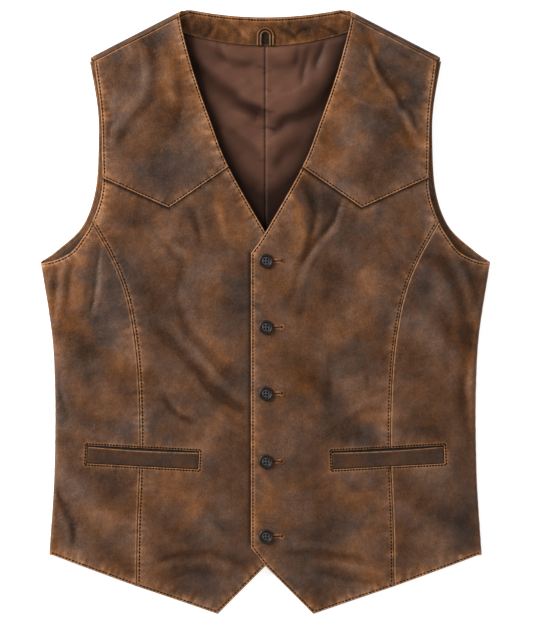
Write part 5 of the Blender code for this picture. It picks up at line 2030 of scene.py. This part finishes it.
def horn_material():
    """Polished dark horn with faint cloudy streaks, its rim darker than its dish, and painted shade, near
    black, in its holes, in the groove inside its rim and on its lower wall.
    """
    nodes = Nodes("button_horn_look")
    streak = nodes.noise(160.0, 4.0, 0.6, 2.5)
    colour = nodes.ramp(streak, ((0.30, (0.040, 0.031, 0.028)), (0.75, (0.085, 0.067, 0.060))))
    parts = nodes.tree.nodes.new("ShaderNodeSeparateXYZ")
    nodes.put(parts, "0", nodes.place())
    x, y, z = parts.outputs
    radius = nodes.math("SQRT", nodes.math("ADD", nodes.math("MULTIPLY", x, x), nodes.math("MULTIPLY", y, y)))
    colour = nodes.mix(nodes.above(radius, 0.0043, 1600.0), colour, (0.014, 0.010, 0.009, 1.0))
    # near black below 1.95 mm: painted shade in the holes, the groove inside the rim and on the lower wall
    below = nodes.math("MULTIPLY", nodes.math("SUBTRACT", 0.00195, z), 9000.0, True)
    colour = nodes.mix(below, colour, (0.003, 0.002, 0.002, 1.0))
    normal = nodes.bump(nodes.noise(900.0, 3.0), 0.00004, 0.5)
    rough = nodes.plus(0.36, streak, 0.18)
    return nodes.finish(Base_Color=colour, Roughness=rough, Normal=normal, Specular_IOR_Level=0.42)


def black_cloth_and_shadow_material():
    """Dull black cloth of the pocket bags; the same black lies over the slits of the buttonholes as painted
    shadow.
    """
    nodes = Nodes("pocket_cloth_and_slit_shadow_look")
    colour = nodes.ramp(nodes.noise(300.0), ((0.30, (0.008, 0.006, 0.005)), (0.75, (0.024, 0.017, 0.014))))
    normal = nodes.bump(nodes.noise(1800.0), 0.0001, 0.6)
    return nodes.finish(Base_Color=colour, Roughness=0.9, Normal=normal)


def floor_material():
    """The stage's even, nearly white floor."""
    nodes = Nodes("floor_look")
    colour = nodes.ramp(nodes.noise(3.0), ((0.3, (0.80, 0.80, 0.80)), (0.7, (0.83, 0.83, 0.83))))
    glow = (1.0, 1.0, 1.0, 1.0)
    return nodes.finish(
        Base_Color=colour, Roughness=0.9, Specular_IOR_Level=0.1, Emission_Color=glow, Emission_Strength=0.72
    )


# Stage


def add_floor():
    mesh = bpy.data.meshes.new("floor")
    mesh.from_pydata([(-4, -4, 0), (4, -4, 0), (4, 4, 0), (-4, 4, 0)], [], [(0, 1, 2, 3)])
    mesh.materials.append(floor_material())
    floor = bpy.data.objects.new("floor", mesh)
    bpy.context.scene.collection.objects.link(floor)
    floor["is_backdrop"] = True


def add_light(name, place, size, power):
    data = bpy.data.lights.new(name, "AREA")
    data.shape = "SQUARE"
    data.size = size
    data.energy = power
    light = bpy.data.objects.new(name, data)
    light.location = place
    light.rotation_euler = (-Vector(place)).to_track_quat("-Z", "Y").to_euler()
    bpy.context.scene.collection.objects.link(light)


LIGHTS = (
    # name, place, size, power
    ("key", (-2.20, 1.15, 1.35), 1.2, 112.0),
    ("fill", (1.8, -0.9, 1.8), 1.8, 12.0),
)
SURROUND_STRENGTH = 0.28
CAMERA_HEIGHT = 3.6


def add_lights():
    """A key light from the upper left, a weak fill opposite and an even white surround."""
    for row in LIGHTS:
        add_light(*row)
    world = bpy.data.worlds.new("studio")
    world.use_nodes = True
    background = world.node_tree.nodes["Background"]
    background.inputs["Color"].default_value = (1.0, 1.0, 1.0, 1.0)
    background.inputs["Strength"].default_value = SURROUND_STRENGTH
    bpy.context.scene.world = world
    bpy.context.scene.view_settings.view_transform = "Standard"


def add_camera():
    """Straight above, framed as the photograph is."""
    seen = PHOTO_SIZE[1] * PHOTO_SCALE
    data = bpy.data.cameras.new("camera")
    data.sensor_fit = "VERTICAL"
    data.sensor_height = 24.0
    data.lens = data.sensor_height * CAMERA_HEIGHT / seen
    camera = bpy.data.objects.new("camera", data)
    middle = from_photo(PHOTO_SIZE[0] / 2, PHOTO_SIZE[1] / 2)
    camera.location = (middle[0], middle[1], CAMERA_HEIGHT + 0.012)
    bpy.context.scene.collection.objects.link(camera)
    bpy.context.scene.camera = camera


def main():
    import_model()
    solid_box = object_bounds()
    add_camera()
    add_lights()
    add_floor()
    leather = leather_material("front_leather_look")
    back_leather = leather_material("back_leather_look", 0.432, 0.9)
    facing_leather = leather_material("facing_leather_look", 0.337, 1.25, 1.1)
    welt_leather = leather_material("welt_leather_look", 0.354, 0.7, 0.58)
    add_back(back_leather)
    add_lining(satin_material())
    add_facing(facing_leather)
    add_hanger_loop(facing_leather)
    add_fronts(leather)
    add_pockets(welt_leather, black_cloth_and_shadow_material())
    dark_thread = thread_material("dark_thread", (0.004, 0.002, 0.001), (0.016, 0.007, 0.004), 0.75)
    purl_thread = thread_material("purl_thread", (0.150, 0.050, 0.015), (0.520, 0.215, 0.075))
    add_stitching(dark_thread)
    add_neck_stitching(dark_thread)
    add_buttonholes(purl_thread, black_cloth_and_shadow_material())
    add_buttons(horn_material(), dark_thread)
    [[list(map(float, corner)) for corner in box] for box in (solid_box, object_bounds())]


main()
